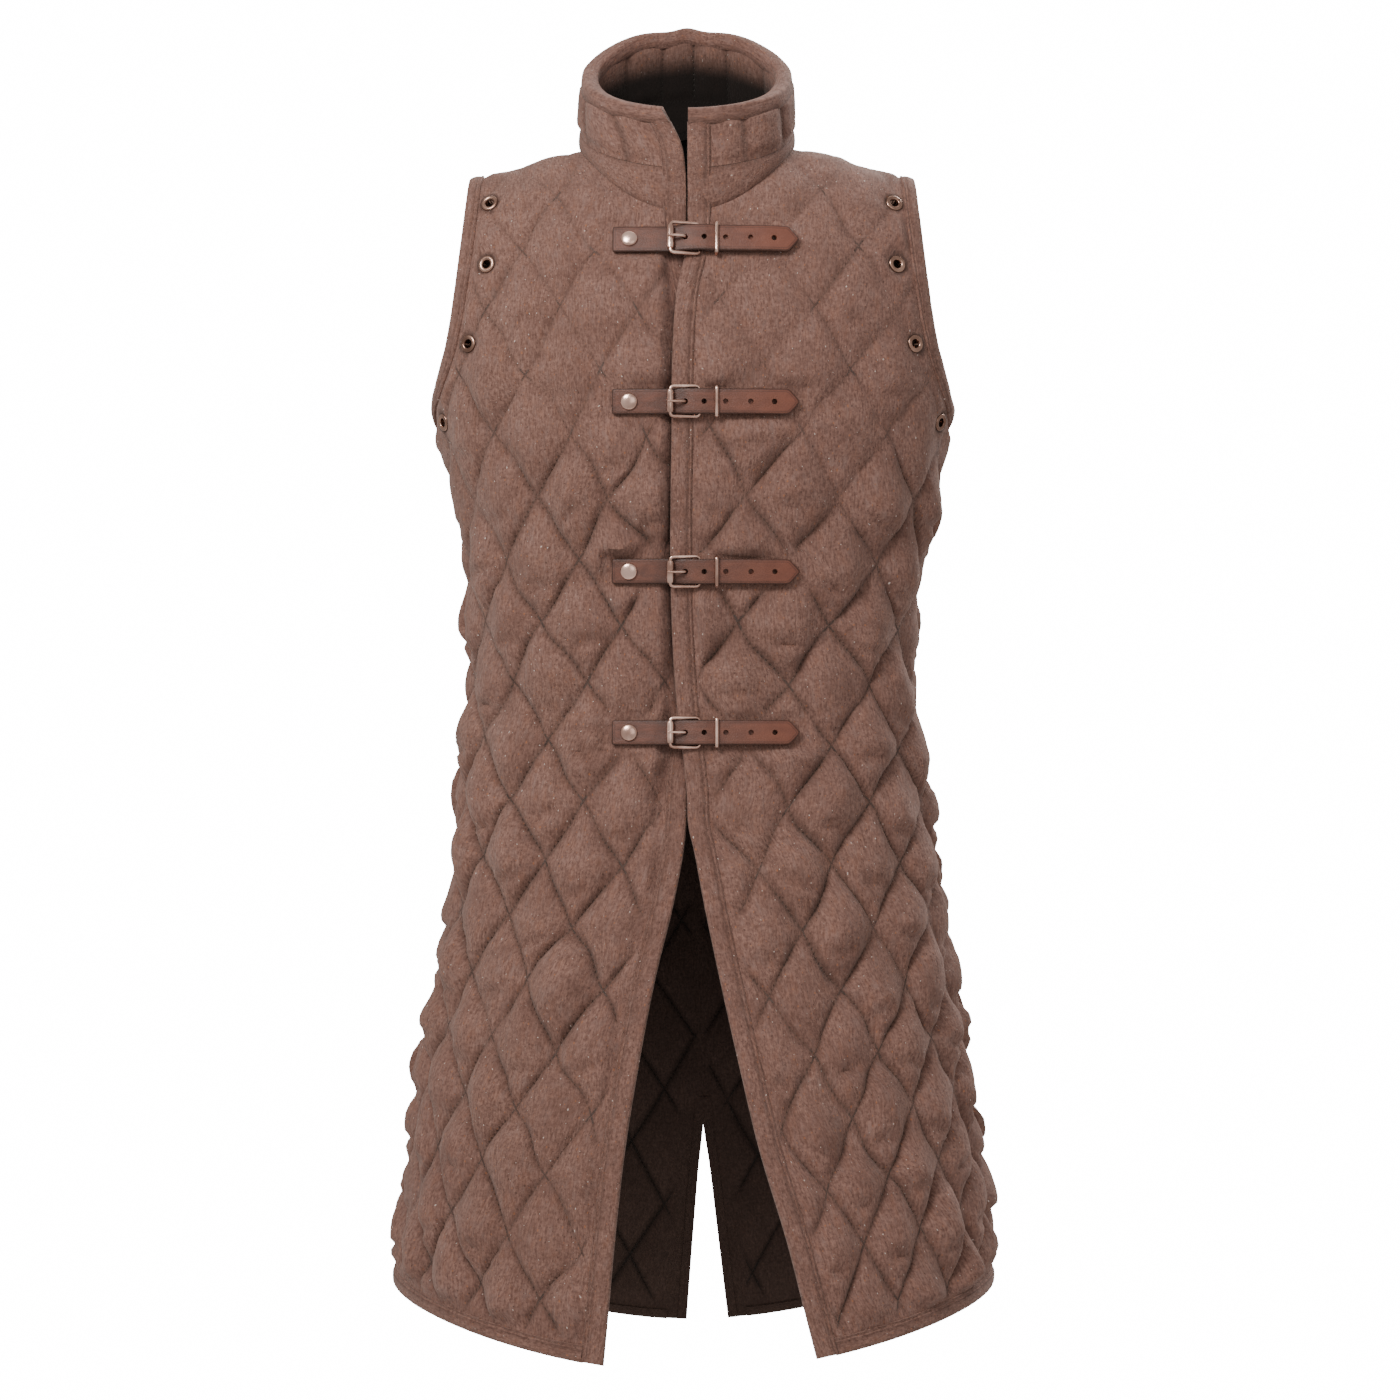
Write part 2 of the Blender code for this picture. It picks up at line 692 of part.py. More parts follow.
def pillow(runs, inner, frames, side, face, uv):
    """Height of the quilting: none along its stitch lines, strips, seams, eyelets and straps."""
    a = uv[:, 0] / QUILT_WIDE
    b = (uv[:, 1] - QUILT_ROW_DROP) / QUILT_TALL
    form = np.abs(np.sin(math.pi * (a + b)) * np.sin(math.pi * (a - b))) ** PILLOW_ROUNDNESS
    base = base_point(side, face, uv[:, 0], uv[:, 1])
    drop = -base[:, 2]
    height = curve(drop, PILLOW_TABLE["drop"], PILLOW_TABLE["height"])
    fade = np.ones(len(uv))
    for name in ("edge", "hem", "arm"):
        fade = fade * ramp(distance_to_line(uv, inner[name]) / STRIP_FADE)
        strip = distance_to_line(uv, runs[name])
        wide = {"edge": FRONT_STRIP, "hem": HEM_STRIP, "arm": ARM_STRIP}[name]
        if not (name == "edge" and face > 0):
            fade = fade * (strip > wide - 0.5)
    if face > 0:
        fade = fade * np.where((uv[:, 0] < FRONT_STRIP + 0.5) & (uv[:, 1] > SLIT_STRIP_DROP - 2), 0, 1)
    for name, plain, run in PLAIN_SEAMS:
        fade = fade * ramp((distance_to_line(uv, runs[name]) - plain) / run)
    for frame in frames:
        away = np.linalg.norm((uv - frame[0]) @ np.linalg.inv(frame[1]).T, axis=1)
        fade = fade * ramp((away - EYELET_PAD) / EYELET_FADE)
    if face < 0:
        x = base[:, 0]
        ends = ramp((x - STRAP_PAD_ENDS[0]) / STRAP_FADE + 1) * ramp((STRAP_PAD_ENDS[1] - x) / STRAP_FADE + 1)
        for strap in STRAP_DROPS:
            near = 1 - ramp((np.abs(drop - strap) - STRAP_PAD) / STRAP_PAD_RUN)
            fade = fade * (1 - near * ends)
    return height * form * fade


def cut_flat(loops, lines, points, links):
    """Triangles of a flat piece: its outer loop first, then its holes."""
    verts = []
    edges = []
    for loop in loops:
        base = len(verts)
        verts.extend(loop)
        edges.extend((base + k, base + (k + 1) % len(loop)) for k in range(len(loop)))
    for line in lines:
        base = len(verts)
        verts.extend(line)
        edges.extend((base + k, base + k + 1) for k in range(len(line) - 1))
    base = len(verts)
    verts.extend(points)
    edges.extend((base + i, base + j) for i, j in links)
    flat = delaunay_2d_cdt([Vector(p) for p in verts], edges, [], 0, 1e-4)
    uv = np.array([tuple(p) for p in flat[0]])
    tris = [tuple(f) for f in flat[2] if len(f) == 3]
    centres = np.array([uv[list(t)].mean(axis=0) for t in tris])
    keep = inside(centres, loops[0])
    for hole in loops[1:]:
        keep &= ~inside(centres, hole)
    return uv, [t for t, k in zip(tris, keep) if k]


def key(p):
    return (round(float(p[0]), 3), round(float(p[1]), 3))


def wall_body(name, look, outer, inner, outer_points, inner_points):
    """Closes an outer and an inner skin that share their loops."""
    outer_uv, outer_tris = outer
    inner_uv, inner_tris = inner
    used = {}
    for t in outer_tris:
        for a, b in ((t[0], t[1]), (t[1], t[2]), (t[2], t[0])):
            used[(a, b)] = used.get((a, b), 0) + 1
    rim = [(a, b) for (a, b) in used if (b, a) not in used]
    find = {key(p): i for i, p in enumerate(inner_uv)}
    shift = len(outer_uv)
    faces = [tuple(t) for t in outer_tris]
    faces.extend(tuple(shift + i for i in reversed(t)) for t in inner_tris)
    for a, b in rim:
        ia = find[key(outer_uv[a])] + shift
        ib = find[key(outer_uv[b])] + shift
        faces.append((b, a, ia, ib))
    return write_body(name, look, np.concatenate((outer_points, inner_points)), faces)


def material(name, look):
    color, rough, metallic = LOOKS[look]
    mat = bpy.data.materials.new(name)
    mat.use_nodes = True
    shader = mat.node_tree.nodes["Principled BSDF"]
    shader.inputs["Base Color"].default_value = color
    shader.inputs["Roughness"].default_value = rough
    shader.inputs["Metallic"].default_value = metallic
    return mat


def face_out(bm):
    bmesh.ops.recalc_face_normals(bm, faces=bm.faces)
    if bm.calc_volume(signed=True) < 0:
        bmesh.ops.reverse_faces(bm, faces=bm.faces)


def write_body(name, look, points, faces):
    mesh = bpy.data.meshes.new(name)
    bm = bmesh.new()
    verts = [bm.verts.new(Vector(tuple(p * MM))) for p in points]
    for face in faces:
        bm.faces.new([verts[i] for i in face])
    loose = [v for v in bm.verts if not v.link_faces]
    bmesh.ops.delete(bm, geom=loose, context="VERTS")
    face_out(bm)
    bm.to_mesh(mesh)
    bm.free()
    mesh.materials.append(material(name, look))
    body = bpy.data.objects.new(name, mesh)
    COLLECTION.objects.link(body)
    return body


def loft(name, look, rings, closed=False):
    """Body through equal rings of points, capped at its ends or closed on itself."""
    count = len(rings[0])
    points = np.concatenate(rings)
    faces = []
    last = len(rings) if closed else len(rings) - 1
    for i in range(last):
        j = (i + 1) % len(rings)
        for k in range(count):
            m = (k + 1) % count
            faces.append((i * count + k, i * count + m, j * count + m, j * count + k))
    if not closed:
        faces.append(tuple(range(count)))
        faces.append(tuple((len(rings) - 1) * count + k for k in range(count)))
    return write_body(name, look, points, faces)


def turned(name, look, profile, steps, closed_profile, centre, e1, e2, axis):
    """Turned piece about an axis: profile of radius and height, outer side from the top down."""
    mesh = bpy.data.meshes.new(name)
    bm = bmesh.new()
    verts = [bm.verts.new((r * MM, 0, h * MM)) for r, h in profile]
    for a, b in zip(verts, verts[1:]):
        bm.edges.new((a, b))
    if closed_profile:
        bm.edges.new((verts[-1], verts[0]))
    bm.to_mesh(mesh)
    bm.free()
    guide = bpy.data.objects.new(name + "_turn", mesh)
    COLLECTION.objects.link(guide)
    screw = guide.modifiers.new("turn", "SCREW")
    screw.steps = steps
    screw.render_steps = steps
    screw.use_merge_vertices = True
    screw.merge_threshold = 0.00001
    graph = bpy.context.evaluated_depsgraph_get()
    done = bpy.data.meshes.new_from_object(guide.evaluated_get(graph))
    bpy.data.objects.remove(guide, do_unlink=True)
    frame = np.stack((e1, e2, axis), axis=1)
    bm = bmesh.new()
    bm.from_mesh(done)
    bmesh.ops.remove_doubles(bm, verts=bm.verts, dist=0.00001)
    for v in bm.verts:
        v.co = Vector(tuple(frame @ np.array(v.co) + centre * MM))
    face_out(bm)
    bm.to_mesh(done)
    bm.free()
    done.name = name
    done.materials.clear()
    done.materials.append(material(name, look))
    body = bpy.data.objects.new(name, done)
    COLLECTION.objects.link(body)
    return body


def strap_lines(side):
    """Lines above and below each strap, between which the cloth is pressed flat."""
    lines = []
    reach = STRAP_PAD_ENDS[1] if side > 0 else -STRAP_PAD_ENDS[0]
    for drop in STRAP_DROPS:
        for height in (drop - STRAP_PAD, drop + STRAP_PAD):
            across = side * np.arange(STRAP_LINE_START, reach + 0.1, STRAP_LINE_STEP)
            lines.append([tuple(p) for p in flat_of(side, FRONT, across, -height)])
    return lines


def quilt_grid(runs, inner, loop, rings, side, face):
    """Points and stitch-line links of the diamond quilting inside a panel."""
    step_u = QUILT_WIDE / QUILT_DIVISIONS
    step_v = QUILT_TALL / QUILT_DIVISIONS
    p = np.array(loop)
    cells = []
    for i in range(0, int(p[:, 0].max() / step_u) + 1):
        low = int((p[:, 1].min() - QUILT_ROW_DROP) / step_v) - 1
        high = int((p[:, 1].max() - QUILT_ROW_DROP) / step_v) + 1
        cells.extend((i, j) for j in range(low, high + 1))
    points = np.array([(i * step_u, QUILT_ROW_DROP + j * step_v) for i, j in cells])
    keep = inside(points, loop) & (distance_to_line(points, loop + [loop[0]]) > GRID_EDGE_CLEAR)
    for line in inner.values():
        keep &= distance_to_line(points, line) > GRID_STRIP_CLEAR
    for name, wide in (("hem", HEM_STRIP), ("arm", ARM_STRIP)):
        keep &= distance_to_line(points, runs[name]) > wide
    keep &= points[:, 0] > 0.1
    if face < 0:
        for line in strap_lines(side):
            keep &= distance_to_line(points, line) > GRID_STRAP_CLEAR
    for ring in rings:
        keep &= ~inside(points, ring)
        keep &= distance_to_line(points, ring + [ring[0]]) > GRID_RING_CLEAR
    index = {}
    kept = []
    for cell, point, ok in zip(cells, points, keep):
        if ok:
            index[cell] = len(kept)
            kept.append(tuple(point))
    links = []
    for (i, j), k in index.items():
        for dj, line in ((1, i - j), (-1, i + j)):
            if line % QUILT_DIVISIONS == 0 and (i + 1, j + dj) in index:
                links.append((k, index[(i + 1, j + dj)]))
    return kept, links


def lining_grid(inner, loop, rings):
    p = np.array(loop)
    us = np.arange(FRONT_STRIP + LINING_START, p[:, 0].max(), LINING_WIDE)
    vs = np.arange(p[:, 1].min(), p[:, 1].max(), LINING_TALL)
    points = np.array([(u, v + (k % 2) * LINING_TALL / 2) for k, u in enumerate(us) for v in vs])
    keep = inside(points, loop) & (distance_to_line(points, loop + [loop[0]]) > LINING_EDGE_CLEAR)
    for ring in rings:
        keep &= ~inside(points, ring) & (distance_to_line(points, ring + [ring[0]]) > LINING_RING_CLEAR)
    return [tuple(q) for q in points[keep]]


def panel(name, side, face):
    runs, inner, loop = panel_cut(side, face)
    frames = eyelet_frames(side, face)
    holes = [ring_of(f, EYELET_HOLE, EYELET_SIDES) for f in frames]
    pads = [ring_of(f, EYELET_PAD, EYELET_SIDES) for f in frames]
    points, links = quilt_grid(runs, inner, loop, pads, side, face)
    pad_lines = [pad + [pad[0]] for pad in pads]
    bands = strap_lines(side) if face < 0 else []
    lines = [inner["edge"], inner["hem"], inner["arm"]] + pad_lines + bands
    outer = cut_flat([loop] + holes, lines, points, links)
    plain_lines = pad_lines + ([inner["edge"]] if face < 0 else [])
    plain = cut_flat([loop] + holes, plain_lines, lining_grid(inner, loop, pads), [])
    rise = WALL + pillow(runs, inner, frames, side, face, outer[0])
    outer_points = place(side, face, outer[0], rise)
    outer_points = press_flat(outer_points, outer[0], frames, WALL, side, face)
    inner_points = place(side, face, plain[0], np.zeros(len(plain[0])))
    inner_points = press_flat(inner_points, plain[0], frames, 0.0, side, face)
    wall_body(name, "cloth", outer, plain, outer_points, inner_points)
    return runs, inner, frames


def strip_rings(side, face, edge, inner, lift=STRIP_LIFT):
    """Flat strip over a panel's edge, one ring of four points to a station."""
    low = WALL + lift
    high = low + STRIP_THICK
    edge = np.array(edge)
    inner = np.array(inner)
    skins = []
    for uv, out in ((edge, low), (edge, high), (inner, high), (inner, low)):
        skins.append(place(side, face, uv, np.full(len(uv), out)))
    return [np.array([skin[k] for skin in skins]) for k in range(len(edge))]


def pull_ends(edge, inner, start, end):
    """Shortens a strip at its ends, to leave the seam gap there."""
    rows = [np.array(edge), np.array(inner)]
    for row in rows:
        d = row[1] - row[0]
        row[0] = row[0] + d / np.linalg.norm(d) * start
        d = row[-2] - row[-1]
        row[-1] = row[-1] + d / np.linalg.norm(d) * end
    return rows


def collar_height(heights, gamma):
    """Height round the collar, with raised corners between its back and its sides."""
    back, middle, front, corner = heights
    c = np.cos(gamma)
    smooth = middle + 0.5 * (back - front) * c + (0.5 * (back + front) - middle) * c * c
    return smooth + 4 * corner * np.maximum(c, 0.0) ** 2 * (1 - c * c)


def collar_plan(gamma, grow):
    """Plan of the collar: gamma is 0 at the back and runs both ways to the front."""
    b = np.where(np.cos(gamma) > 0, NECK_BACK, NECK_FRONT) + grow
    r = polar_radius(NECK_HALF + grow, b, gamma, NECK_POWER)
    return NECK_CENTRE_X + r * np.sin(gamma), r * np.cos(gamma)


def collar_foot(gamma, grow):
    """Height at which the neck band stands on the yoke."""
    x, y = collar_plan(gamma, np.maximum(grow, 0.0))
    z = np.zeros(len(gamma))
    for face, clearance in ((FRONT, BAND_CLEARANCE), (BACK, BAND_BACK_CLEARANCE)):
        for side, _ in SIDES:
            mask = ((y > 0) == (face > 0)) & ((x >= 0) == (side > 0))
            if mask.any():
                z[mask] = yoke_height(side, face, x[mask], y[mask], WALL + clearance)
    return z


def collar_end_angle(side, z):
    name = "left_x" if side > 0 else "right_x"
    x = curve(z, COLLAR_EDGE["height"], COLLAR_EDGE[name])
    e = np.abs(x - NECK_CENTRE_X)
    y = NECK_FRONT * (1 - (e / NECK_HALF) ** NECK_POWER) ** (1 / NECK_POWER)
    angle = np.arctan2(e, y) * np.sign(side * (x - NECK_CENTRE_X))
    return side * (math.pi - angle)


def collar_piece(c, z_of, taper_of, out):
    """Point of the collar: c runs from the right front edge, round the back, to the left."""
    right = np.full(len(c), -math.pi)
    left = np.full(len(c), math.pi)
    for _ in range(3):
        gamma = right + (left - right) * c
        z = z_of(gamma)
        right = collar_end_angle(RIGHT, z)
        left = collar_end_angle(LEFT, z)
    gamma = right + (left - right) * c
    z = z_of(gamma)
    x, y = collar_plan(gamma, out - taper_of(gamma, z))
    return np.stack((x, y, z), axis=1)


def rim_taper(gamma, z):
    foot = collar_height(BAND_TOP_HEIGHTS, gamma)
    top = collar_height(RIM_HEIGHTS, gamma)
    return RIM_TAPER * np.clip((z - foot) / (top - foot), 0, 1)


def collar_wall(name, stations, rows, low_of, high_of, outer_of):
    """Upright wall: rings of points round its section, one ring to a station."""
    rings = []
    ts = np.array(rows)
    for c in stations:
        cs = np.full(len(ts), c)

        def height(gamma):
            return low_of(gamma) * (1 - ts) + high_of(gamma) * ts

        inside = np.full(len(ts), COLLAR_INSIDE)
        out = collar_piece(cs, height, rim_taper, outer_of(cs, ts))
        back = collar_piece(cs, height, rim_taper, inside)[::-1]
        if low_of is foot_of:
            out[0] = collar_piece(cs[:1], lambda g: collar_foot(g, COLLAR_WALL), rim_taper,
                                  outer_of(cs[:1], ts[:1]))[0]
            back[-1] = collar_piece(cs[:1], lambda g: collar_foot(g, 0.0), rim_taper,
                                    np.full(1, COLLAR_INSIDE))[0]
        rings.append(np.concatenate((out, back)))
    return loft(name, "cloth", rings)


def foot_of(gamma):
    return collar_foot(gamma, COLLAR_WALL)


def band_top(gamma):
    return collar_height(BAND_TOP_HEIGHTS, gamma)


def collar_low(gamma):
    return collar_height(BAND_TOP_HEIGHTS, gamma) + COLLAR_SEAM_GAP


def collar_high(gamma):
    return collar_height(RIM_HEIGHTS, gamma)


def plain_outer(c, t):
    return np.full(len(c), COLLAR_WALL)


def channel_outer(c, t):
    wave = np.abs(np.sin(math.pi * CHANNELS * c)) ** PILLOW_ROUNDNESS
    ends = ramp((np.minimum(c, 1 - c) - CHANNEL_END) / CHANNEL_END_RUN)
    puffed = np.isclose(t, COLLAR_ROWS[2])
    return COLLAR_WALL + CHANNEL_RELIEF * wave * ends * puffed


def rim_binding(name, stations):
    """Binding folded over the top of the collar."""
    lift = BINDING_LIFT
    thick = BINDING_THICK
    profile = (
        (COLLAR_WALL + lift, -BINDING_DEPTH),
        (COLLAR_WALL + lift + thick, -BINDING_DEPTH),
        (COLLAR_WALL + lift + thick, BINDING_SHOULDER),
        (COLLAR_WALL - BINDING_ROUND, lift + thick + BINDING_ROUND),
        (COLLAR_INSIDE + BINDING_ROUND, lift + thick + BINDING_ROUND),
        (COLLAR_INSIDE - lift - thick, BINDING_SHOULDER),
        (COLLAR_INSIDE - lift - thick, -BINDING_DEPTH),
        (COLLAR_INSIDE - lift, -BINDING_DEPTH),
        (COLLAR_INSIDE - lift, lift),
        (COLLAR_WALL + lift, lift),
    )
    rings = []
    for c in stations:
        ring = []
        for out, rise in profile:
            point = collar_piece(np.array([c]), lambda g, rise=rise: collar_high(g) + rise, rim_taper,
                                 np.array([out]))
            ring.append(point[0])
        rings.append(np.array(ring))
    return loft(name, "cloth", rings)


def front_strip(name, side, runs, inner):
    """Strip along a front edge, from the hem and on up the collar's front."""
    edge, line = pull_ends(runs["edge"], inner["edge"], 0.0, 0.0)
    rings = strip_rings(side, FRONT, edge[:-1], line[:-1])
    low = COLLAR_WALL + STRIP_LIFT
    high = low + STRIP_THICK
    for z_of in (
        lambda g: foot_of(g) + STRIP_FOOT_RISE,
        band_top,
        lambda g: collar_high(g) - BINDING_DEPTH - STRIP_TOP_GAP,
    ):
        gamma_end = np.array([side * math.pi])
        z = z_of(gamma_end)
        g0 = collar_end_angle(side, z)
        span = FRONT_STRIP / NECK_FRONT
        ring = []
        for out, g in ((low, g0), (high, g0), (high, g0 - side * span), (low, g0 - side * span)):
            zz = z_of(g)
            x, y = collar_plan(g, out - rim_taper(g, zz))
            ring.append((x[0], y[0], zz[0]))
        rings.append(np.array(ring))
    return loft(name, "cloth", rings)


def tongue_strap(name, drop):
    steps = np.arange(STRAP_START_X, STRAP_TIP_X - STRAP_POINT + 0.1, STRAP_STEP)
    top = [(x, STRAP_HALF) for x in steps]
    bottom = [(x, -STRAP_HALF) for x in steps[::-1]]
    nose = [(STRAP_TIP_X + x, y) for x, y in STRAP_NOSE]
    loop = top + nose + [(x, -y) for x, y in nose[::-1]] + bottom
    holes = []
    for hole_x in STRAP_HOLES_X:
        angles = 2 * math.pi * (np.arange(STRAP_HOLE_SIDES) + 0.5) / STRAP_HOLE_SIDES
        holes.append([(hole_x + STRAP_HOLE_RADIUS * math.cos(t), STRAP_HOLE_RADIUS * math.sin(t)) for t in angles])
    outer = cut_flat([loop] + holes, [], [], [])
    uv = outer[0]
    seat = np.interp(uv[:, 0], TONGUE_TABLE["across"], TONGUE_TABLE["seat"])
    z = uv[:, 1] - drop
    low = chest(uv[:, 0], z, seat)
    high = chest(uv[:, 0], z, seat + STRAP_THICK)
    return wall_body(name, "leather", outer, outer, high, low)


def box_rings(xs, half, low, high, drop):
    rings = []
    for x in xs:
        local = np.array(((x, -half, low), (x, half, low), (x, half, high), (x, -half, high)))
        rings.append(chest(local[:, 0], local[:, 1] - drop, local[:, 2]))
    return rings


def buckle_strap(name, drop):
    xs = np.linspace(BUCKLE_STRAP_X[0], BUCKLE_STRAP_X[1], BUCKLE_STRAP_STATIONS)
    low = BUCKLE_STRAP_SEAT
    return loft(name, "leather", box_rings(xs, BUCKLE_STRAP_HALF, low, low + BUCKLE_STRAP_THICK, drop))


def wire_loop(name, path, radii, drop, sides=6):
    """Closed wire through local points, its rings square to the path."""
    path = np.array(path, dtype=float)
    rings = []
    for k, p in enumerate(path):
        t = path[(k + 1) % len(path)] - path[k - 1]
        t = t / np.linalg.norm(t)
        side_way = np.cross(t, (0, 0, 1))
        side_way = side_way / np.linalg.norm(side_way)
        up = np.cross(side_way, t)
        ring = []
        for j in range(sides):
            angle = 2 * math.pi * (j + 0.5) / sides
            ring.append(p + radii[k] * (math.cos(angle) * side_way + math.sin(angle) * up))
        ring = np.array(ring)
        rings.append(chest(ring[:, 0], ring[:, 1] - drop, ring[:, 2]))
    return loft(name, "metal", rings, closed=True)


def buckle_frame(name, drop):
    rear = BUCKLE_REAR_X
    roller = BUCKLE_ROLLER_X
    half = BUCKLE_HALF
    cut = BUCKLE_CORNER

    def rise(x):
        t = (rear - x) / (rear - roller)
        return BUCKLE_REAR_RISE + (BUCKLE_ROLLER_RISE - BUCKLE_REAR_RISE) * t

    plan = (
        (rear, -half + cut), (rear, half - cut), (rear - cut, half), (roller + cut, half),
        (roller, half - cut), (roller, half - cut - ROLLER_END), (roller, -half + cut + ROLLER_END), (roller, -half + cut),
        (roller + cut, -half), (rear - cut, -half),
    )
    radii = [WIRE_RADIUS] * len(plan)
    radii[5] = ROLLER_RADIUS
    radii[6] = ROLLER_RADIUS
    return wire_loop(name, [(x, z, rise(x)) for x, z in plan], radii, drop)


def prong(name, drop):
    rings = []
    path = np.array(PRONG_PATH)
    for k, (x, out) in enumerate(path):
        t = path[min(k + 1, len(path) - 1)] - path[max(k - 1, 0)]
        t = t / np.linalg.norm(t)
        radius = PRONG_RADIUS * (PRONG_TIP if k == len(path) - 1 else 1.0)
        ring = []
        for j in range(6):
            angle = 2 * math.pi * j / 6
            across = radius * math.cos(angle)
            lift = radius * math.sin(angle)
            ring.append((x - t[1] * lift, across, out + t[0] * lift))
        ring = np.array(ring)
        rings.append(chest(ring[:, 0], ring[:, 1] - drop, ring[:, 2]))
    return loft(name, "metal", rings)


def keeper(name, drop):
    corner = KEEPER_CORNER
    side = KEEPER_HALF + corner
    low = KEEPER_SEAT + KEEPER_THICK + corner
    path = (
        (-KEEPER_HALF, KEEPER_SEAT + KEEPER_THICK), (KEEPER_HALF, KEEPER_SEAT + KEEPER_THICK),
        (side, low), (side, KEEPER_TOP), (KEEPER_HALF, KEEPER_TOP + corner),
        (-KEEPER_HALF, KEEPER_TOP + corner), (-side, KEEPER_TOP), (-side, low),
    )
    path = np.array(path)
    centre = path.mean(axis=0)
    rings = []
    for p in path:
        way = np.sign(p - centre)
        q = p + way * KEEPER_THICK * (0.0, 1.0) + way * KEEPER_THICK * (1.0, 0.0)
        low_x = KEEPER_X - KEEPER_WIDE / 2
        high_x = KEEPER_X + KEEPER_WIDE / 2
        local = np.array(((low_x, p[0], p[1]), (high_x, p[0], p[1]), (high_x, q[0], q[1]), (low_x, q[0], q[1])))
        rings.append(chest(local[:, 0], local[:, 1] - drop, local[:, 2]))
    return loft(name, "metal", rings, closed=True)


def frame_at(x, z, out):
    """Position and axes of a small turned piece over the chest."""
    xs = np.array([x, x + 1.0])
    zs = np.array([z, z])
    lower = chest(xs, zs, np.array([0.0, 0.0]))
    upper = chest(xs, zs, np.array([out, out]))
    axis = (upper[0] - lower[0]) / np.linalg.norm(upper[0] - lower[0])
    e1 = lower[1] - lower[0]
    e1 = e1 - axis * (e1 @ axis)
    e1 = e1 / np.linalg.norm(e1)
    return upper[0], e1, np.cross(axis, e1), axis


def rivet(name, drop):
    seat = float(np.interp(RIVET_X, TONGUE_TABLE["across"], TONGUE_TABLE["seat"]))
    centre, e1, e2, axis = frame_at(RIVET_X, -drop, seat + STRAP_THICK + RIVET_SEAT)
    shape = columns(RIVET_PROFILE_COLUMNS, RIVET_PROFILE)
    profile = list(zip(shape["radius"] * RIVET_RADIUS, shape["height"] * RIVET_RISE))
    return turned(name, "metal", profile, 12, False, centre, e1, e2, axis)


def eyelet(name, frame, side, face):
    c, _, e1, e2, n = frame
    centre = place(side, face, np.array([c]), np.zeros(1))[0]
    low = -EYELET_SEAT
    high = WALL + EYELET_SEAT
    plate = EYELET_PLATE
    profile = (
        (EYELET_BORE, high + plate * 2 / 3), ((EYELET_BORE + EYELET_FLANGE) / 2, high + plate),
        (EYELET_FLANGE, high + plate / 8), (EYELET_FLANGE, high), (EYELET_BARREL, high),
        (EYELET_BARREL, low), (EYELET_BACK_FLANGE, low), (EYELET_BACK_FLANGE, low - plate / 2),
        (EYELET_BORE, low - plate / 2),
    )
    return turned(name, "metal", profile, EYELET_SIDES, True, centre, e1, np.cross(n, e1), n)


COLLECTION = bpy.data.collections.new("gambeson")
bpy.context.scene.collection.children.link(COLLECTION)

cuts = {}
for face, face_name in ((FRONT, "front"), (BACK, "back")):
    for side, side_name in SIDES:
        cuts[(face, side)] = panel(face_name + "_" + side_name, side, face)

# Strips along the hem and the back slit
for (face, side), (runs, inner, frames) in cuts.items():
    side_name = dict(SIDES)[side]
    face_name = "front" if face < 0 else "back"
    hem_rows = pull_ends(runs["hem"][:-1], inner["hem"], STRIP_END, SEAM_GAP)
    loft("hem_binding_" + face_name + "_" + side_name, "cloth", strip_rings(side, face, *hem_rows))
    if face < 0:
        front_strip("front_edge_binding_" + side_name, side, runs, inner)
    else:
        count = len(inner["edge"])
        slit_rows = pull_ends(runs["edge"][:count], inner["edge"], 0.0, 0.0)
        loft("slit_binding_" + side_name, "cloth", strip_rings(side, face, *slit_rows))
    for number, frame in enumerate(frames):
        eyelet("eyelet_" + face_name + "_" + side_name + "_" + str(number + 1), frame, side, face)

# Strips round the armholes
for side, side_name in SIDES:
    front_runs, front_inner, _ = cuts[(FRONT, side)]
    back_runs, back_inner, _ = cuts[(BACK, side)]
    rings = strip_rings(side, FRONT, front_runs["arm"], front_inner["arm"], ARM_LIFT)
    back_rings = strip_rings(side, BACK, back_runs["arm"], back_inner["arm"], ARM_LIFT)
    rings = rings + back_rings[1:-1][::-1]
    loft("armhole_binding_" + side_name, "cloth", rings, closed=True)

# Neck band, stand collar and its rim
STATIONS = np.concatenate(([0.0, 0.022], np.linspace(0.045, 0.955, 35), [0.978, 1.0]))
collar_wall("neck_band", STATIONS, BAND_ROWS, foot_of, band_top, plain_outer)
collar_wall("collar", STATIONS, COLLAR_ROWS, collar_low, collar_high, channel_outer)
rim_binding("collar_rim_binding", STATIONS)

# Straps with their buckles
for number, drop in enumerate(STRAP_DROPS):
    tail = "_" + str(number + 1)
    tongue_strap("tongue_strap" + tail, drop)
    buckle_strap("buckle_strap" + tail, drop)
    buckle_frame("buckle_frame" + tail, drop)
    prong("prong" + tail, drop)
    keeper("keeper" + tail, drop)
    rivet("rivet" + tail, drop)
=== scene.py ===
import json
import math

import bmesh
import bpy
import numpy as np
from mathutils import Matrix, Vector
from mathutils.geometry import delaunay_2d_cdt

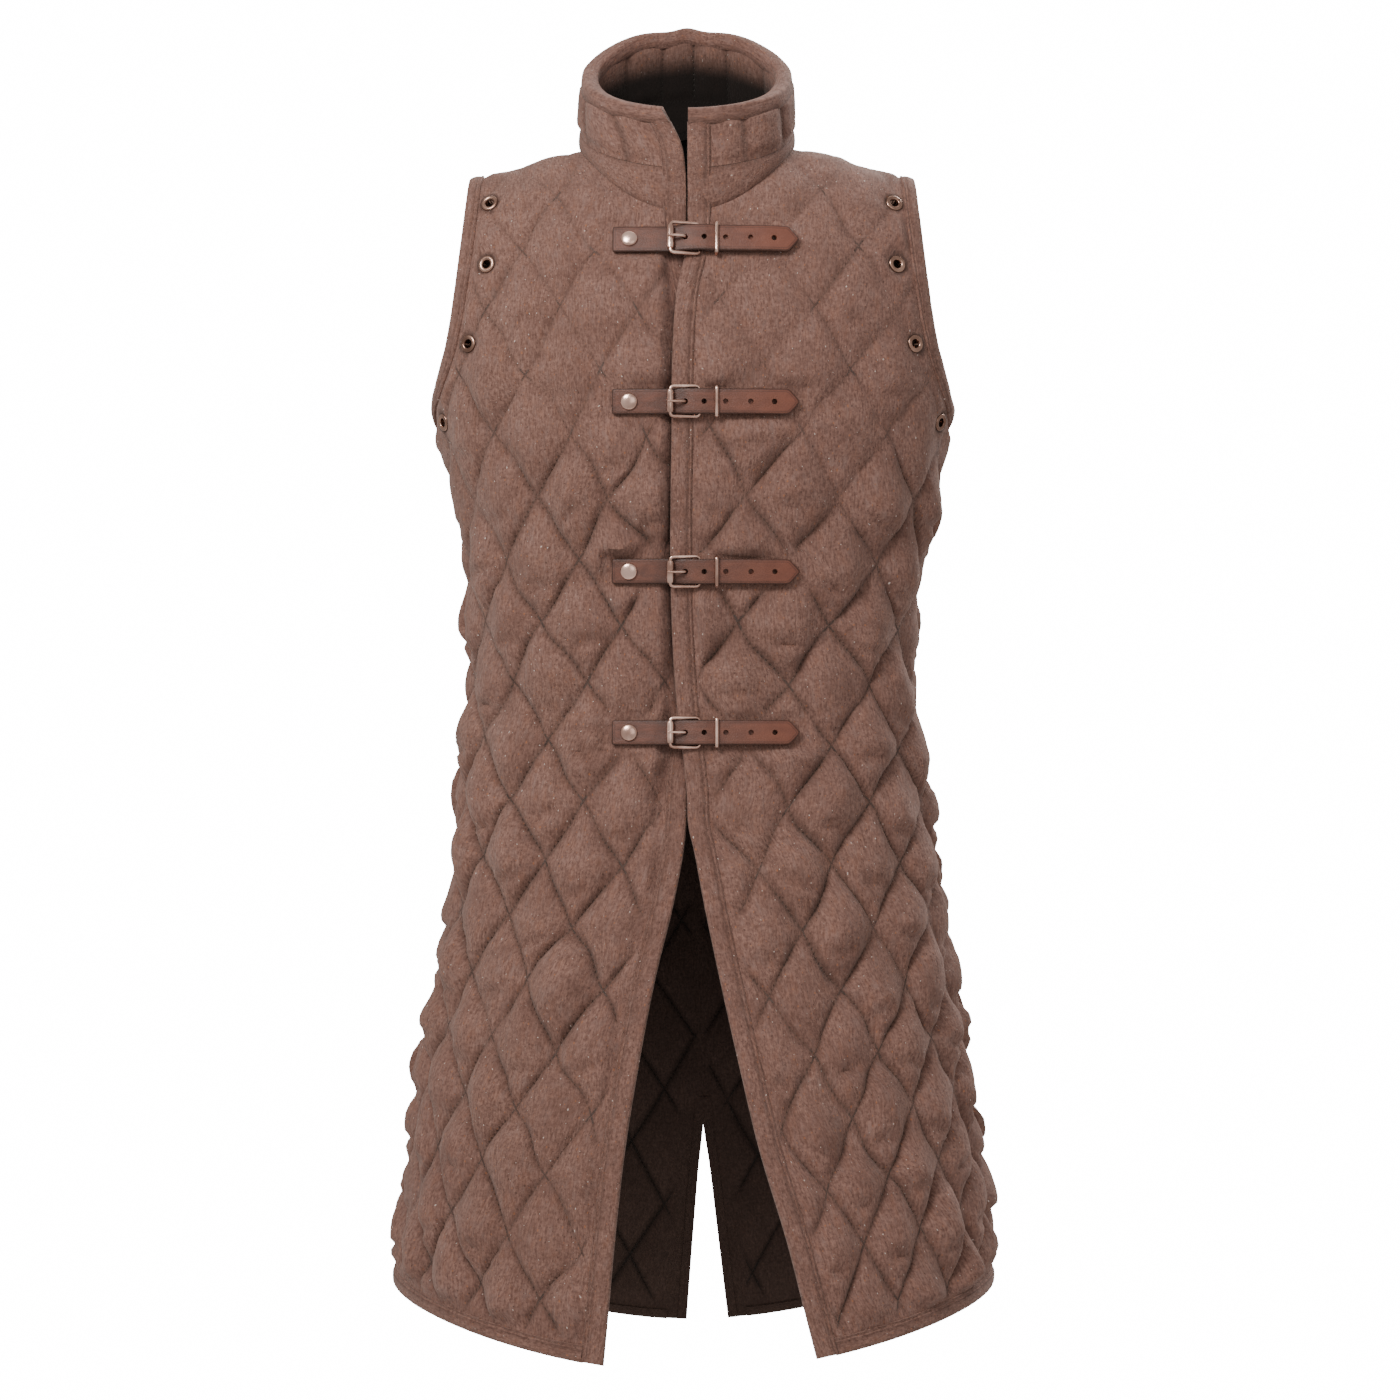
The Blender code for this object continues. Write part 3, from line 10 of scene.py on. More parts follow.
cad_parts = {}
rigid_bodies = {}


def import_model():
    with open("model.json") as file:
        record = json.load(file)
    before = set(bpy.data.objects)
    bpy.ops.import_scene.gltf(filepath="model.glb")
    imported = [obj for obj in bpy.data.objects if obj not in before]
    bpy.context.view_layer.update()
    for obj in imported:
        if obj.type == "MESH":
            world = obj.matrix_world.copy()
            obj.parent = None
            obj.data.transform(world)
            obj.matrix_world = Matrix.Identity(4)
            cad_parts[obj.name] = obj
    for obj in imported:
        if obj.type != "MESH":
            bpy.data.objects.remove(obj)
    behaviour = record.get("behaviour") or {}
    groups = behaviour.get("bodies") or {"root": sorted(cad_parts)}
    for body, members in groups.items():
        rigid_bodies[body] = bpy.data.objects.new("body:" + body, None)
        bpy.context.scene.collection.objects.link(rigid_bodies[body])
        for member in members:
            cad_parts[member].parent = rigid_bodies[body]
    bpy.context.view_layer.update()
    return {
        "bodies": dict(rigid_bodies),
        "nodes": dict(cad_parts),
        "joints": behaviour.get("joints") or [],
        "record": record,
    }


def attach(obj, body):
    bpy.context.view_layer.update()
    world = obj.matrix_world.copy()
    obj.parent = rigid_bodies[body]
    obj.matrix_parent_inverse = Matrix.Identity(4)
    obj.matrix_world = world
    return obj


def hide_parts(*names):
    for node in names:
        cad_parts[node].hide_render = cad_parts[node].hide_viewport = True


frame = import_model()

MM = 0.001
RIGHT = -1
LEFT = 1
FRONT = -1
BACK = 1
SIDES = ((RIGHT, "right"), (LEFT, "left"))
RUNS = ("edge", "neck", "shoulder", "arm", "seam", "hem")



def columns(names, rows):
    return dict(zip(names, np.array(rows, dtype=float).T))


# Body form
YOKE_DROP = 212.0
FORM_INSET = 8.0
SECTION_POWER = 2.35
SECTION = columns(("drop", "right_half", "left_half", "front_depth", "back_depth"), (
    (212, 209, 211, 130, 125),
    (240, 202, 203, 130, 124),
    (290, 190, 195, 127, 120),
    (340, 183, 187, 122, 114),
    (395, 180, 179, 118, 110),
    (443, 179, 181, 118, 112),
    (490, 183, 184, 121, 118),
    (541, 188, 192, 128, 127),
    (598, 196, 201, 141, 138),
    (660, 204, 208, 157, 150),
    (720, 213, 217, 172, 161),
    (788, 224, 228, 189, 174),
    (860, 236, 238, 207, 187),
    (930, 242, 245, 222, 196),
    (980, 246, 248, 232, 202),
))
FRONT_EDGE = columns(("drop", "right_x", "left_x"), (
    (30, -4.4, -3.0),
    (88, -4.4, -3.2),
    (125, 3.0, -11.0),
    (165, 4.0, -14.0),
    (240, 4.0, -15.0),
    (323, 4.0, -16.0),
    (403, 4.0, -14.0),
    (462, 3.0, -9.5),
    (500, -3.0, -4.5),
    (520, -4.2, -2.8),
    (541, -5.0, -2.0),
    (560, -7.0, 2.3),
    (598, -14.0, 9.5),
    (660, -29.0, 22.5),
    (720, -40.5, 36.0),
    (788, -51.5, 52.2),
    (860, -59.5, 74.0),
    (923, -65.0, 90.0),
    (980, -70.5, 105.0),
))
BACK_EDGE = columns(("drop", "right_x", "left_x"), (
    (0, -0.1, 0.1),
    (480, -0.1, 0.1),
    (640, 3.4, 3.6),
    (760, 8.6, 8.8),
    (790, 8.6, 9.4),
    (830, 4.6, 15.0),
    (880, 0.5, 21.0),
    (980, -7.0, 33.0),
))
RIDGE = columns(("across", "height"), ((0, 8), (40, 6), (83, 0), (130, -12), (178, -26), (215, -40)))
BACK_NECK_RISE = 38.0
BACK_NECK_REACH = 70.0
ARMHOLE = columns(("drop", "across"), (
    (26, 175.5), (50, 176.5), (77, 178.5), (120, 183.0), (165, 190.0), (190, 197.0), (204, 200.6),
))
ARM_DROPS = (38, 54, 74, 96, 119, 142, 163, 180, 193, 204)
HEM_SIDE_DROP = 905.0
HEM_FRONT_DIP = 50.0
HEM_BACK_DIP = 54.0
HEM_GUESS = 30.0

# Neck opening and stand collar
NECK_CENTRE_X = -4.0
NECK_HALF = 77.0
NECK_FRONT = 82.0
NECK_BACK = 52.0
NECK_POWER = 2.2
COLLAR_WALL = 8.0
COLLAR_INSIDE = -1.0
BAND_CLEARANCE = -0.8
COLLAR_SEAM_GAP = -0.3
RIM_TAPER = 3.0
RIM_HEIGHTS = (92.5, 56.0, 19.0, 7.7)
RIM_PEAK = 5.0
RIM_PEAK_ANGLE = 0.24
BAND_TOP_HEIGHTS = (42.0, 14.0, -25.0, 0.0)
CHANNEL_RELIEF = 4.0
CHANNELS = 12
BINDING_DEPTH = 10.0
BINDING_THICK = 1.3
BINDING_LIFT = 0.8
COLLAR_EDGE = columns(("height", "right_x", "left_x"), (
    (-60, -4.6, -3.0), (-25, -5.6, -3.0), (-8, -8.0, -3.0), (22, -23.0, -3.0),
))

# Cloth wall and quilting
WALL = 5.0
DIVISIONS = 20
PILLOW = columns(("drop", "height"), ((0, 2.2), (150, 3.0), (250, 4.3), (350, 5.4), (980, 6.2)))
PILLOW_ROUNDNESS = 0.7
PLAIN_SEAMS = (("seam", 0.0, 7.0), ("shoulder", 0.0, 12.0), ("neck", 10.0, 12.0), ("edge", 0.0, 9.0))
PLAIN_STRIP_RUN = 11.0
PLAIN_EYELET_RUN = 9.0

# Tuck of the right front beneath the left front
TUCK_DEPTH = 8.2
TUCK_FLAT = 21.0
TUCK_RUN = 8.0
TUCK_ZONE = (60.0, 24.0, 576.0, 50.0)

# Seams and strips
SEAM_GAP = -0.5
STRIP_LIFT = 0.4
ARM_LIFT = 1.0
FRONT_STRIP = 16.0
HEM_STRIP = 12.0
ARM_STRIP = 14.0
SLIT_STRIP_DROP = 772.0
EDGE_STEP = 24.0
HEM_STEP = 18.0

# Eyelets of the armholes
EYELETS = ((158.5, 52.0), (159.5, 101.0), (173.0, 163.0), (193.0, 222.0))
EYELET_HOLE = 3.9
EYELET_BORE = 3.3
EYELET_BARREL = 3.7
EYELET_FLANGE = 7.0
EYELET_SEAT = 0.35
EYELET_PAD = 7.4
EYELET_TILT = 0.3

# Straps and buckles
STRAP_DROPS = (86.0, 211.0, 342.0, 469.0)
STRAP_HALF = 9.8
STRAP_START_X = -61.0
STRAP_TIP_X = 82.0
STRAP_THICK = 2.2
TONGUE = columns(("across", "seat"), (
    (-64, 6.9), (-25, 6.9), (-16, 7.1), (-7, 9.7), (2, 10.8), (11, 10.8), (20, 9.5), (56, 9.5), (84, 8.0),
))
STRAP_HOLES_X = (-5.0, 9.5, 26.0, 45.0, 63.0)
STRAP_HOLE_RADIUS = 2.1
BUCKLE_STRAP_X = (9.8, 53.0)
BUCKLE_STRAP_SEAT = 6.9
BUCKLE_STRAP_THICK = 2.0
WIRE_RADIUS = 1.4
BUCKLE_REAR_X = 6.0
BUCKLE_ROLLER_X = -16.5
BUCKLE_REAR_RISE = 8.6
BUCKLE_ROLLER_RISE = 12.2
BUCKLE_HALF = 11.7
ROLLER_RADIUS = 2.9
PRONG_RADIUS = 1.0
PRONG_PATH = ((-4.8, 10.4), (-5.4, 13.4), (-8.0, 14.6), (-12.6, 15.4), (-18.6, 15.8))
KEEPER_X = 19.0
KEEPER_SEAT = 5.7
KEEPER_TOP = 12.3
KEEPER_HALF = 10.5
RIVET_X = -48.0
RIVET_RADIUS = 6.6
RIVET_RISE = 2.2
STRAP_PAD = 12.0
STRAP_PAD_RUN = 8.0
STRAP_PAD_ZONE = (-76.0, 10.0, 98.0, 10.0)


def curve(x, xs, ys):
    """Smooth curve through the points of a table, held flat beyond its ends."""
    x = np.clip(x, xs[0], xs[-1])
    slopes = np.gradient(ys, xs)
    i = np.clip(np.searchsorted(xs, x) - 1, 0, len(xs) - 2)
    span = xs[i + 1] - xs[i]
    t = (x - xs[i]) / span
    start = ys[i] * (1 + 2 * t) + slopes[i] * span * t
    end = ys[i + 1] * (3 - 2 * t) - slopes[i + 1] * span * (1 - t)
    return start * (1 - t) ** 2 + end * t**2


def ramp(x):
    x = np.clip(x, 0.0, 1.0)
    return x * x * (3 - 2 * x)


def ramp_between(x, zone):
    """Rises over a run from a start, and falls to an end over another run."""
    start, rise, end, fall = zone
    return ramp((x - start) / rise) * ramp((end - x) / fall)


def unit(vector):
    return vector / np.linalg.norm(vector)


def units(rows):
    return rows / np.linalg.norm(rows, axis=1)[:, None]


def ring_angles(sides):
    return 2 * math.pi * (np.arange(sides) + 0.5) / sides


def x_column(side):
    return "left_x" if side > 0 else "right_x"


def half_width(side, drop):
    name = "left_half" if side > 0 else "right_half"
    return curve(drop, SECTION["drop"], SECTION[name]) - FORM_INSET


def depth(face, drop):
    name = "back_depth" if face > 0 else "front_depth"
    return curve(drop, SECTION["drop"], SECTION[name]) - FORM_INSET


def edge_x(side, face, drop):
    table = BACK_EDGE if face > 0 else FRONT_EDGE
    return curve(drop, table["drop"], table[x_column(side)])


def polar_radius(a, b, phi, power):
    return ((np.abs(np.sin(phi)) / a) ** power + (np.abs(np.cos(phi)) / b) ** power) ** (-1 / power)


def section_radius(side, face, phi, drop):
    return polar_radius(half_width(side, drop), depth(face, drop), phi, SECTION_POWER)


def angle_of_x(side, face, x, drop):
    """Angle round a section, from the centre line, of the point at x."""
    e = side * x
    a = half_width(side, drop)
    inside = np.clip(1 - np.minimum(np.abs(e) / a, 1.0) ** SECTION_POWER, 0.0, 1.0)
    return np.arctan2(e, depth(face, drop) * inside ** (1 / SECTION_POWER))


SWEEP = np.concatenate(([-0.12], np.linspace(0, 1, 57), [1.04]))
SWEEP_START = 1


def arc_table(side, face, drop):
    """Angles and distances along each section from the panel's centre edge."""
    start = angle_of_x(side, face, edge_x(side, face, drop), drop)
    phi = start[:, None] + SWEEP[None, :] * (math.pi / 2 - start)[:, None]
    a = half_width(side, drop)[:, None]
    b = depth(face, drop)[:, None]
    r = polar_radius(a, b, phi, SECTION_POWER)
    steps = np.hypot(np.diff(r * np.sin(phi)), np.diff(r * np.cos(phi)))
    u = np.concatenate((np.zeros((len(drop), 1)), np.cumsum(steps, axis=1)), axis=1)
    return phi, u - u[:, SWEEP_START][:, None]


def lookup(table_x, table_y, x):
    """Row by row linear interpolation."""
    i = np.clip((table_x < x[:, None]).sum(axis=1) - 1, 0, table_x.shape[1] - 2)
    rows = np.arange(len(x))
    x0 = table_x[rows, i]
    x1 = table_x[rows, i + 1]
    y0 = table_y[rows, i]
    y1 = table_y[rows, i + 1]
    return y0 + (y1 - y0) * (x - x0) / (x1 - x0)


PSI = np.radians(np.linspace(0, 100, 41))


def ridge_height(face, across):
    height = curve(across, RIDGE["across"], RIDGE["height"])
    rise = np.clip(1 - (across / BACK_NECK_REACH) ** 2, 0, 1) ** 2
    return height + (BACK_NECK_RISE * rise if face > 0 else 0.0) - FORM_INSET


def yoke_table(b, h):
    """Distance up the rounded yoke against the angle of its profile."""
    y = b[:, None] * np.cos(PSI)[None, :]
    z = h[:, None] * np.sin(PSI)[None, :]
    steps = np.hypot(np.diff(y), np.diff(z))
    s = np.concatenate((np.zeros((len(b), 1)), np.cumsum(steps, axis=1)), axis=1)
    return s, np.repeat(PSI[None, :], len(b), axis=0)


def base_point(side, face, u, v):
    """Point of the inner surface: u round the body, v down it."""
    low = np.maximum(v, YOKE_DROP)
    phi_table, u_table = arc_table(side, face, low)
    phi = lookup(u_table, phi_table, u)
    r = section_radius(side, face, phi, low)
    px = r * np.sin(phi)
    py = r * np.cos(phi)
    h = ridge_height(face, np.abs(px)) + YOKE_DROP
    rise = np.maximum(YOKE_DROP - v, 0.0)
    s, psi_table = yoke_table(np.maximum(py, 0.5), h)
    psi = lookup(s, psi_table, rise)
    psi = np.where(rise > 0, psi, 0.0)
    return np.stack((side * px, face * py * np.cos(psi), h * np.sin(psi) - low), axis=1)


def surface_normal(side, face, u, v):
    d = 0.5
    du = base_point(side, face, u + d, v) - base_point(side, face, u - d, v)
    dv = base_point(side, face, u, v + d) - base_point(side, face, u, v - d)
    n = np.cross(du, dv) * side * face
    return units(n)


def tuck(side, face, u, drop):
    if (side, face) != (RIGHT, FRONT):
        return np.zeros(len(u))
    return TUCK_DEPTH * ramp_between(drop, TUCK_ZONE) * ramp((TUCK_FLAT + TUCK_RUN - u) / TUCK_RUN)


def place(side, face, uv, out):
    """Points of a panel at the distance out from its inner surface."""
    u = uv[:, 0]
    v = uv[:, 1]
    p = base_point(side, face, u, v)
    rise = out - tuck(side, face, u, -p[:, 2])
    return p + surface_normal(side, face, u, v) * rise[:, None]


def u_of_angle(side, face, phi, drop):
    phi_table, u_table = arc_table(side, face, drop)
    return lookup(phi_table, u_table, phi)


def flat_of(side, face, x, z):
    """The panel's own u and v of a point known by its x and z."""
    x = np.atleast_1d(np.asarray(x, dtype=float))
    z = np.broadcast_to(np.asarray(z, dtype=float), x.shape)
    low = np.maximum(-z, YOKE_DROP)
    phi = angle_of_x(side, face, x, low)
    u = u_of_angle(side, face, phi, low)
    b = section_radius(side, face, phi, low) * np.cos(phi)
    h = ridge_height(face, np.abs(x)) + YOKE_DROP
    psi = np.arcsin(np.clip((z + YOKE_DROP) / h, 0, 1))
    s, psi_table = yoke_table(np.maximum(b, 0.5), h)
    rise = lookup(psi_table, s, psi)
    v = np.where(z > -YOKE_DROP, YOKE_DROP - rise, -z)
    return np.stack((u, v), axis=1)


def chest(x, z, out):
    """Point over the closed front, the tuck left out, with its outward distance."""
    points = np.zeros((len(x), 3))
    for side, _ in SIDES:
        mask = (x >= 0) if side > 0 else (x < 0)
        if mask.any():
            uv = flat_of(side, FRONT, x[mask], z[mask])
            base = base_point(side, FRONT, uv[:, 0], uv[:, 1])
            n = surface_normal(side, FRONT, uv[:, 0], uv[:, 1])
            points[mask] = base + n * out[mask][:, None]
    return points


def neck_plan(side, face, gamma, grow):
    """Plan of the neck: gamma runs from the centre line to the side."""
    b = (NECK_BACK if face > 0 else NECK_FRONT) + grow
    r = polar_radius(NECK_HALF + grow, b, gamma, NECK_POWER)
    return NECK_CENTRE_X + side * r * np.sin(gamma), face * r * np.cos(gamma)


def neck_angle(side, face, x, grow):
    e = abs(x - NECK_CENTRE_X) * (1 if side * (x - NECK_CENTRE_X) >= 0 else -1)
    b = (NECK_BACK if face > 0 else NECK_FRONT) + grow
    y = b * (1 - (abs(e) / (NECK_HALF + grow)) ** NECK_POWER) ** (1 / NECK_POWER)
    return math.atan2(e, y)


def yoke_height(side, face, x, y, out):
    """Height of the yoke over a plan point, out from its inner surface."""
    low = np.full(len(x), YOKE_DROP)
    phi = angle_of_x(side, face, x, low)
    b = section_radius(side, face, phi, low) * np.cos(phi)
    h = ridge_height(face, np.abs(x)) + YOKE_DROP
    cosine = np.clip(np.abs(y) / (b + out), 0, 1)
    return (h + out) * np.sqrt(1 - cosine**2) - YOKE_DROP


def hem_drop(face, phi):
    dip = HEM_BACK_DIP if face > 0 else HEM_FRONT_DIP
    return HEM_SIDE_DROP + dip * np.cos(phi) ** 2


def hem_point(side, face, u):
    v = HEM_SIDE_DROP + HEM_GUESS
    for _ in range(6):
        phi_table, u_table = arc_table(side, face, np.array([v]))
        phi = lookup(u_table, phi_table, np.array([float(u)]))[0]
        v = hem_drop(face, phi)
    return (float(u), float(v))


def side_length(side, face, drop):
    return float(u_of_angle(side, face, np.array([math.pi / 2]), np.array([float(drop)]))[0])


def offset_line(points, distance):
    """A line beside a polyline, on the hand that faces the panel."""
    p = np.array(points)
    t = units(np.gradient(p, axis=0))
    return p + distance * np.stack((-t[:, 1], t[:, 0]), axis=1)


def drops_between(top, bottom, step):
    count = max(2, int(round((bottom - top) / step)) + 1)
    return np.linspace(top, bottom, count)


def panel_cut(side, face):
    """Outline of a panel in u and v, in named runs, with the inner lines of its strips."""
    corner = hem_point(side, face, 0)[1]
    hem_in = hem_point(side, face, FRONT_STRIP)
    strip_top = corner - HEM_STRIP

    # Centre edge, from the hem up to the neck
    if face > 0:
        lower = drops_between(SLIT_STRIP_DROP, strip_top, EDGE_STEP)
        upper = drops_between(YOKE_DROP, SLIT_STRIP_DROP, EDGE_STEP)
        drops = np.concatenate(([corner], lower[::-1], upper[::-1][1:]))
    else:
        drops = np.concatenate(([corner], drops_between(YOKE_DROP, strip_top, EDGE_STEP)[::-1]))
    edge = [(0.0, v) for v in drops]
    neck_x = float(edge_x(side, face, np.array([40.0]))[0])
    gamma0 = neck_angle(side, face, neck_x, 0.0)
    x0, y0 = neck_plan(side, face, np.array([gamma0]), 0.0)
    pit = float(yoke_height(side, face, x0, y0, 0.0)[0])
    for z in np.linspace(-YOKE_DROP, pit, 8)[1:]:
        x = edge_x(side, face, np.array([-z]))
        edge.append(tuple(flat_of(side, face, x, z)[0]))

    # Neck line, out to the shoulder
    gamma_strip = neck_angle(side, face, neck_x + side * FRONT_STRIP, 0.0)
    gammas = np.concatenate(([gamma_strip], np.linspace(gamma_strip, math.pi / 2, 9)[1:]))
    if face > 0:
        gammas = np.linspace(gamma0, math.pi / 2, 9)[1:]
    nx, ny = neck_plan(side, face, gammas, 0.0)
    nz = yoke_height(side, face, nx, ny, 0.0)
    neck = [edge[-1]] + [tuple(p) for p in flat_of(side, face, nx, nz)]

    # Shoulder seam, with a point where the armhole strip ends
    tip_x = ARMHOLE["across"][0]
    across = np.concatenate((np.linspace(abs(nx[-1]), tip_x - 11.0, 6), [tip_x]))
    ridge = ridge_height(face, across)
    shoulder = [tuple(p) for p in flat_of(side, face, side * across, ridge)]
    neck[-1] = shoulder[0]

    # Armhole, from the shoulder tip down to the side seam
    arm_drops = np.array(ARM_DROPS, dtype=float)
    arm_x = curve(arm_drops, ARMHOLE["drop"], ARMHOLE["across"])
    arm = [tuple(p) for p in flat_of(side, face, side * arm_x, -arm_drops)]
    arm = [shoulder[-1]] + arm + [(side_length(side, face, YOKE_DROP), YOKE_DROP)]

    # Side seam, down to the hem
    foot = HEM_SIDE_DROP
    drops = drops_between(YOKE_DROP + ARM_STRIP, foot - HEM_STRIP, EDGE_STEP)
    seam = [arm[-1]] + [(side_length(side, face, v), v) for v in drops]
    seam.append((side_length(side, face, foot), foot))

    # Hem, back to the centre edge
    around = drops_between(FRONT_STRIP, seam[-1][0], HEM_STEP)
    hem = [seam[-1]] + [hem_point(side, face, u) for u in around[::-1][1:]] + [edge[0]]

    runs = {"edge": edge, "neck": neck, "shoulder": shoulder, "arm": arm, "seam": seam, "hem": hem}
    loop = []
    for name in RUNS:
        loop.extend(runs[name][:-1])
    loop = inset(loop, SEAM_GAP / 2)
    start = 0
    for name in RUNS:
        count = len(runs[name])
        index = [(start + k) % len(loop) for k in range(count)]
        runs[name] = [loop[k] for k in index]
        start += count - 1

    # Inner lines of the strips
    front_count = len(runs["edge"])
    if face > 0:
        front_count = 1 + len(lower)
    front_in = [(u + FRONT_STRIP, v) for u, v in runs["edge"][:front_count]]
    front_in[0] = runs["hem"][-2]
    front_in[1] = (hem_in[0] + SEAM_GAP / 2, hem_in[1] - HEM_STRIP)
    if face < 0:
        front_in[-1] = runs["neck"][1]
    hem_line = [(u, v - HEM_STRIP) for u, v in runs["hem"][:-1]]
    hem_line[0] = runs["seam"][-2]
    hem_line[-1] = front_in[1]
    arm_line = [tuple(p) for p in offset_line(runs["arm"], ARM_STRIP)]
    arm_line[0] = runs["shoulder"][-2]
    arm_line[-1] = runs["seam"][1]
    inner = {"edge": front_in, "hem": hem_line, "arm": arm_line}
    return runs, inner, loop


def inset(loop, distance):
    p = np.array(loop)
    before = units(p - np.roll(p, 1, axis=0))
    after = units(np.roll(p, -1, axis=0) - p)
    n0 = np.stack((-before[:, 1], before[:, 0]), axis=1)
    n1 = np.stack((-after[:, 1], after[:, 0]), axis=1)
    middle = n0 + n1
    scale = distance / np.maximum(np.sum(middle * n0, axis=1), 0.3)
    area = 0.5 * np.sum(p[:, 0] * np.roll(p[:, 1], -1) - p[:, 1] * np.roll(p[:, 0], -1))
    hand = 1.0 if area > 0 else -1.0
    return [tuple(q) for q in p + hand * middle * scale[:, None]]


def distance_to_line(points, line):
    """Distance from each point to an open polyline."""
    line = np.array(line)
    best = np.full(len(points), 1e9)
    for a, b in zip(line[:-1], line[1:]):
        d = b - a
        t = np.clip(((points - a) @ d) / (d @ d), 0, 1)
        best = np.minimum(best, np.linalg.norm(points - a - t[:, None] * d, axis=1))
    return best


def inside(points, loop):
    loop = np.array(loop)
    x = points[:, 0]
    y = points[:, 1]
    result = np.zeros(len(points), dtype=bool)
    for (x0, y0), (x1, y1) in zip(loop, np.roll(loop, -1, axis=0)):
        crosses = (y0 > y) != (y1 > y)
        if crosses.any():
            result ^= crosses & (x < (x1 - x0) * (y - y0) / (y1 - y0 + 1e-12) + x0)
    return result


def eyelet_frames(side, face):
    """Centre in u and v of each eyelet, with the two steps that draw a true circle there."""
    frames = []
    for across, drop in EYELETS:
        c = flat_of(side, face, np.array([side * across]), -drop)[0]
        u = np.array([c[0]])
        v = np.array([c[1]])
        tu = (base_point(side, face, u + 1, v) - base_point(side, face, u - 1, v))[0] / 2
        tv = (base_point(side, face, u, v + 1) - base_point(side, face, u, v - 1))[0] / 2
        n = unit(surface_normal(side, face, u, v)[0] + (0.0, face * EYELET_TILT, 0.0))
        tu = tu - n * (tu @ n)
        e1 = unit(tu)
        e2 = np.cross(n, e1)
        frame = np.linalg.lstsq(np.stack((tu, tv), axis=1), np.stack((e1, e2), axis=1), rcond=None)[0]
        frames.append((c, frame, e1, e2, n))
    return frames


def from_eyelet(uv, frame):
    """True distance from an eyelet's centre."""
    return np.linalg.norm((uv - frame[0]) @ np.linalg.inv(frame[1]).T, axis=1)


def press_flat(points, uv, frames, rise, side, face):
    """Presses the cloth flat about each eyelet."""
    for frame in frames:
        away = from_eyelet(uv, frame)
        n = frame[4]
        centre = place(side, face, np.array([frame[0]]), np.array([rise]))[0]
        near = away < EYELET_PAD + 0.3
        points[near] -= ((points[near] - centre) @ n)[:, None] * n
    return points


def ring_of(frame, radius, sides):
    c, steps = frame[0], frame[1]
    return [tuple(c + steps @ (radius * math.cos(t), radius * math.sin(t))) for t in ring_angles(sides)]


def cut_flat(loops, lines, points, links):
    """Triangles of a flat piece: its outer loop first, then its holes."""
    verts = []
    edges = []
    for loop in loops:
        base = len(verts)
        verts.extend(loop)
        edges.extend((base + k, base + (k + 1) % len(loop)) for k in range(len(loop)))
    for line in lines:
        base = len(verts)
        verts.extend(line)
        edges.extend((base + k, base + k + 1) for k in range(len(line) - 1))
    base = len(verts)
    verts.extend(points)
    edges.extend((base + i, base + j) for i, j in links)
    flat = delaunay_2d_cdt([Vector(p) for p in verts], edges, [], 0, 1e-4)
    uv = np.array([tuple(p) for p in flat[0]])
    tris = [tuple(f) for f in flat[2] if len(f) == 3]
    centres = np.array([uv[list(t)].mean(axis=0) for t in tris])
    keep = inside(centres, loops[0])
    for hole in loops[1:]:
        keep &= ~inside(centres, hole)
    return uv, [t for t, k in zip(tris, keep) if k]


def key(p):
    return (round(float(p[0]), 3), round(float(p[1]), 3))


def collar_height(heights, gamma):
    """Height round the collar, with its raised corners between the back and the sides."""
    back, middle, front, corner = heights
    c = np.cos(gamma)
    smooth = middle + 0.5 * (back - front) * c + (0.5 * (back + front) - middle) * c * c
    return smooth + 4 * corner * np.maximum(c, 0.0) ** 2 * (1 - c * c)


def collar_plan(gamma, grow):
    """Plan of the collar: gamma is 0 at the back and runs both ways to the front."""
    b = np.where(np.cos(gamma) > 0, NECK_BACK, NECK_FRONT) + grow
    r = polar_radius(NECK_HALF + grow, b, gamma, NECK_POWER)
    return NECK_CENTRE_X + r * np.sin(gamma), r * np.cos(gamma)


def collar_foot(gamma, grow):
    """Height at which the neck band stands on the yoke."""
    x, y = collar_plan(gamma, np.maximum(grow, 0.0))
    z = np.zeros(len(gamma))
    for face in (FRONT, BACK):
        for side, _ in SIDES:
            mask = ((y > 0) == (face > 0)) & ((x >= 0) == (side > 0))
            if mask.any():
                z[mask] = yoke_height(side, face, x[mask], y[mask], WALL + BAND_CLEARANCE)
    return z


def collar_end_angle(side, z):
    x = curve(z, COLLAR_EDGE["height"], COLLAR_EDGE[x_column(side)])
    e = np.abs(x - NECK_CENTRE_X)
    y = NECK_FRONT * (1 - (e / NECK_HALF) ** NECK_POWER) ** (1 / NECK_POWER)
    angle = np.arctan2(e, y) * np.sign(side * (x - NECK_CENTRE_X))
    return side * (math.pi - angle)


def collar_piece(c, z_of, taper_of, out):
    """Point of the collar: c runs from the right front edge, round the back, to the left."""
    right = np.full(len(c), -math.pi)
    left = np.full(len(c), math.pi)
    for _ in range(3):
        gamma = right + (left - right) * c
        z = z_of(gamma)
        right = collar_end_angle(RIGHT, z)
        left = collar_end_angle(LEFT, z)
    gamma = right + (left - right) * c
    z = z_of(gamma)
    x, y = collar_plan(gamma, out - taper_of(gamma, z))
    return np.stack((x, y, z), axis=1)


def rim_taper(gamma, z):
    foot = collar_height(BAND_TOP_HEIGHTS, gamma)
    top = collar_height(RIM_HEIGHTS, gamma)
    return RIM_TAPER * np.clip((z - foot) / (top - foot), 0, 1)


def foot_of(gamma):
    return collar_foot(gamma, COLLAR_WALL)


def band_top(gamma):
    return collar_height(BAND_TOP_HEIGHTS, gamma)


def collar_low(gamma):
    return collar_height(BAND_TOP_HEIGHTS, gamma) + COLLAR_SEAM_GAP


def collar_high(gamma):
    return collar_height(RIM_HEIGHTS, gamma) + RIM_PEAK * np.exp(-((gamma / RIM_PEAK_ANGLE) ** 2))


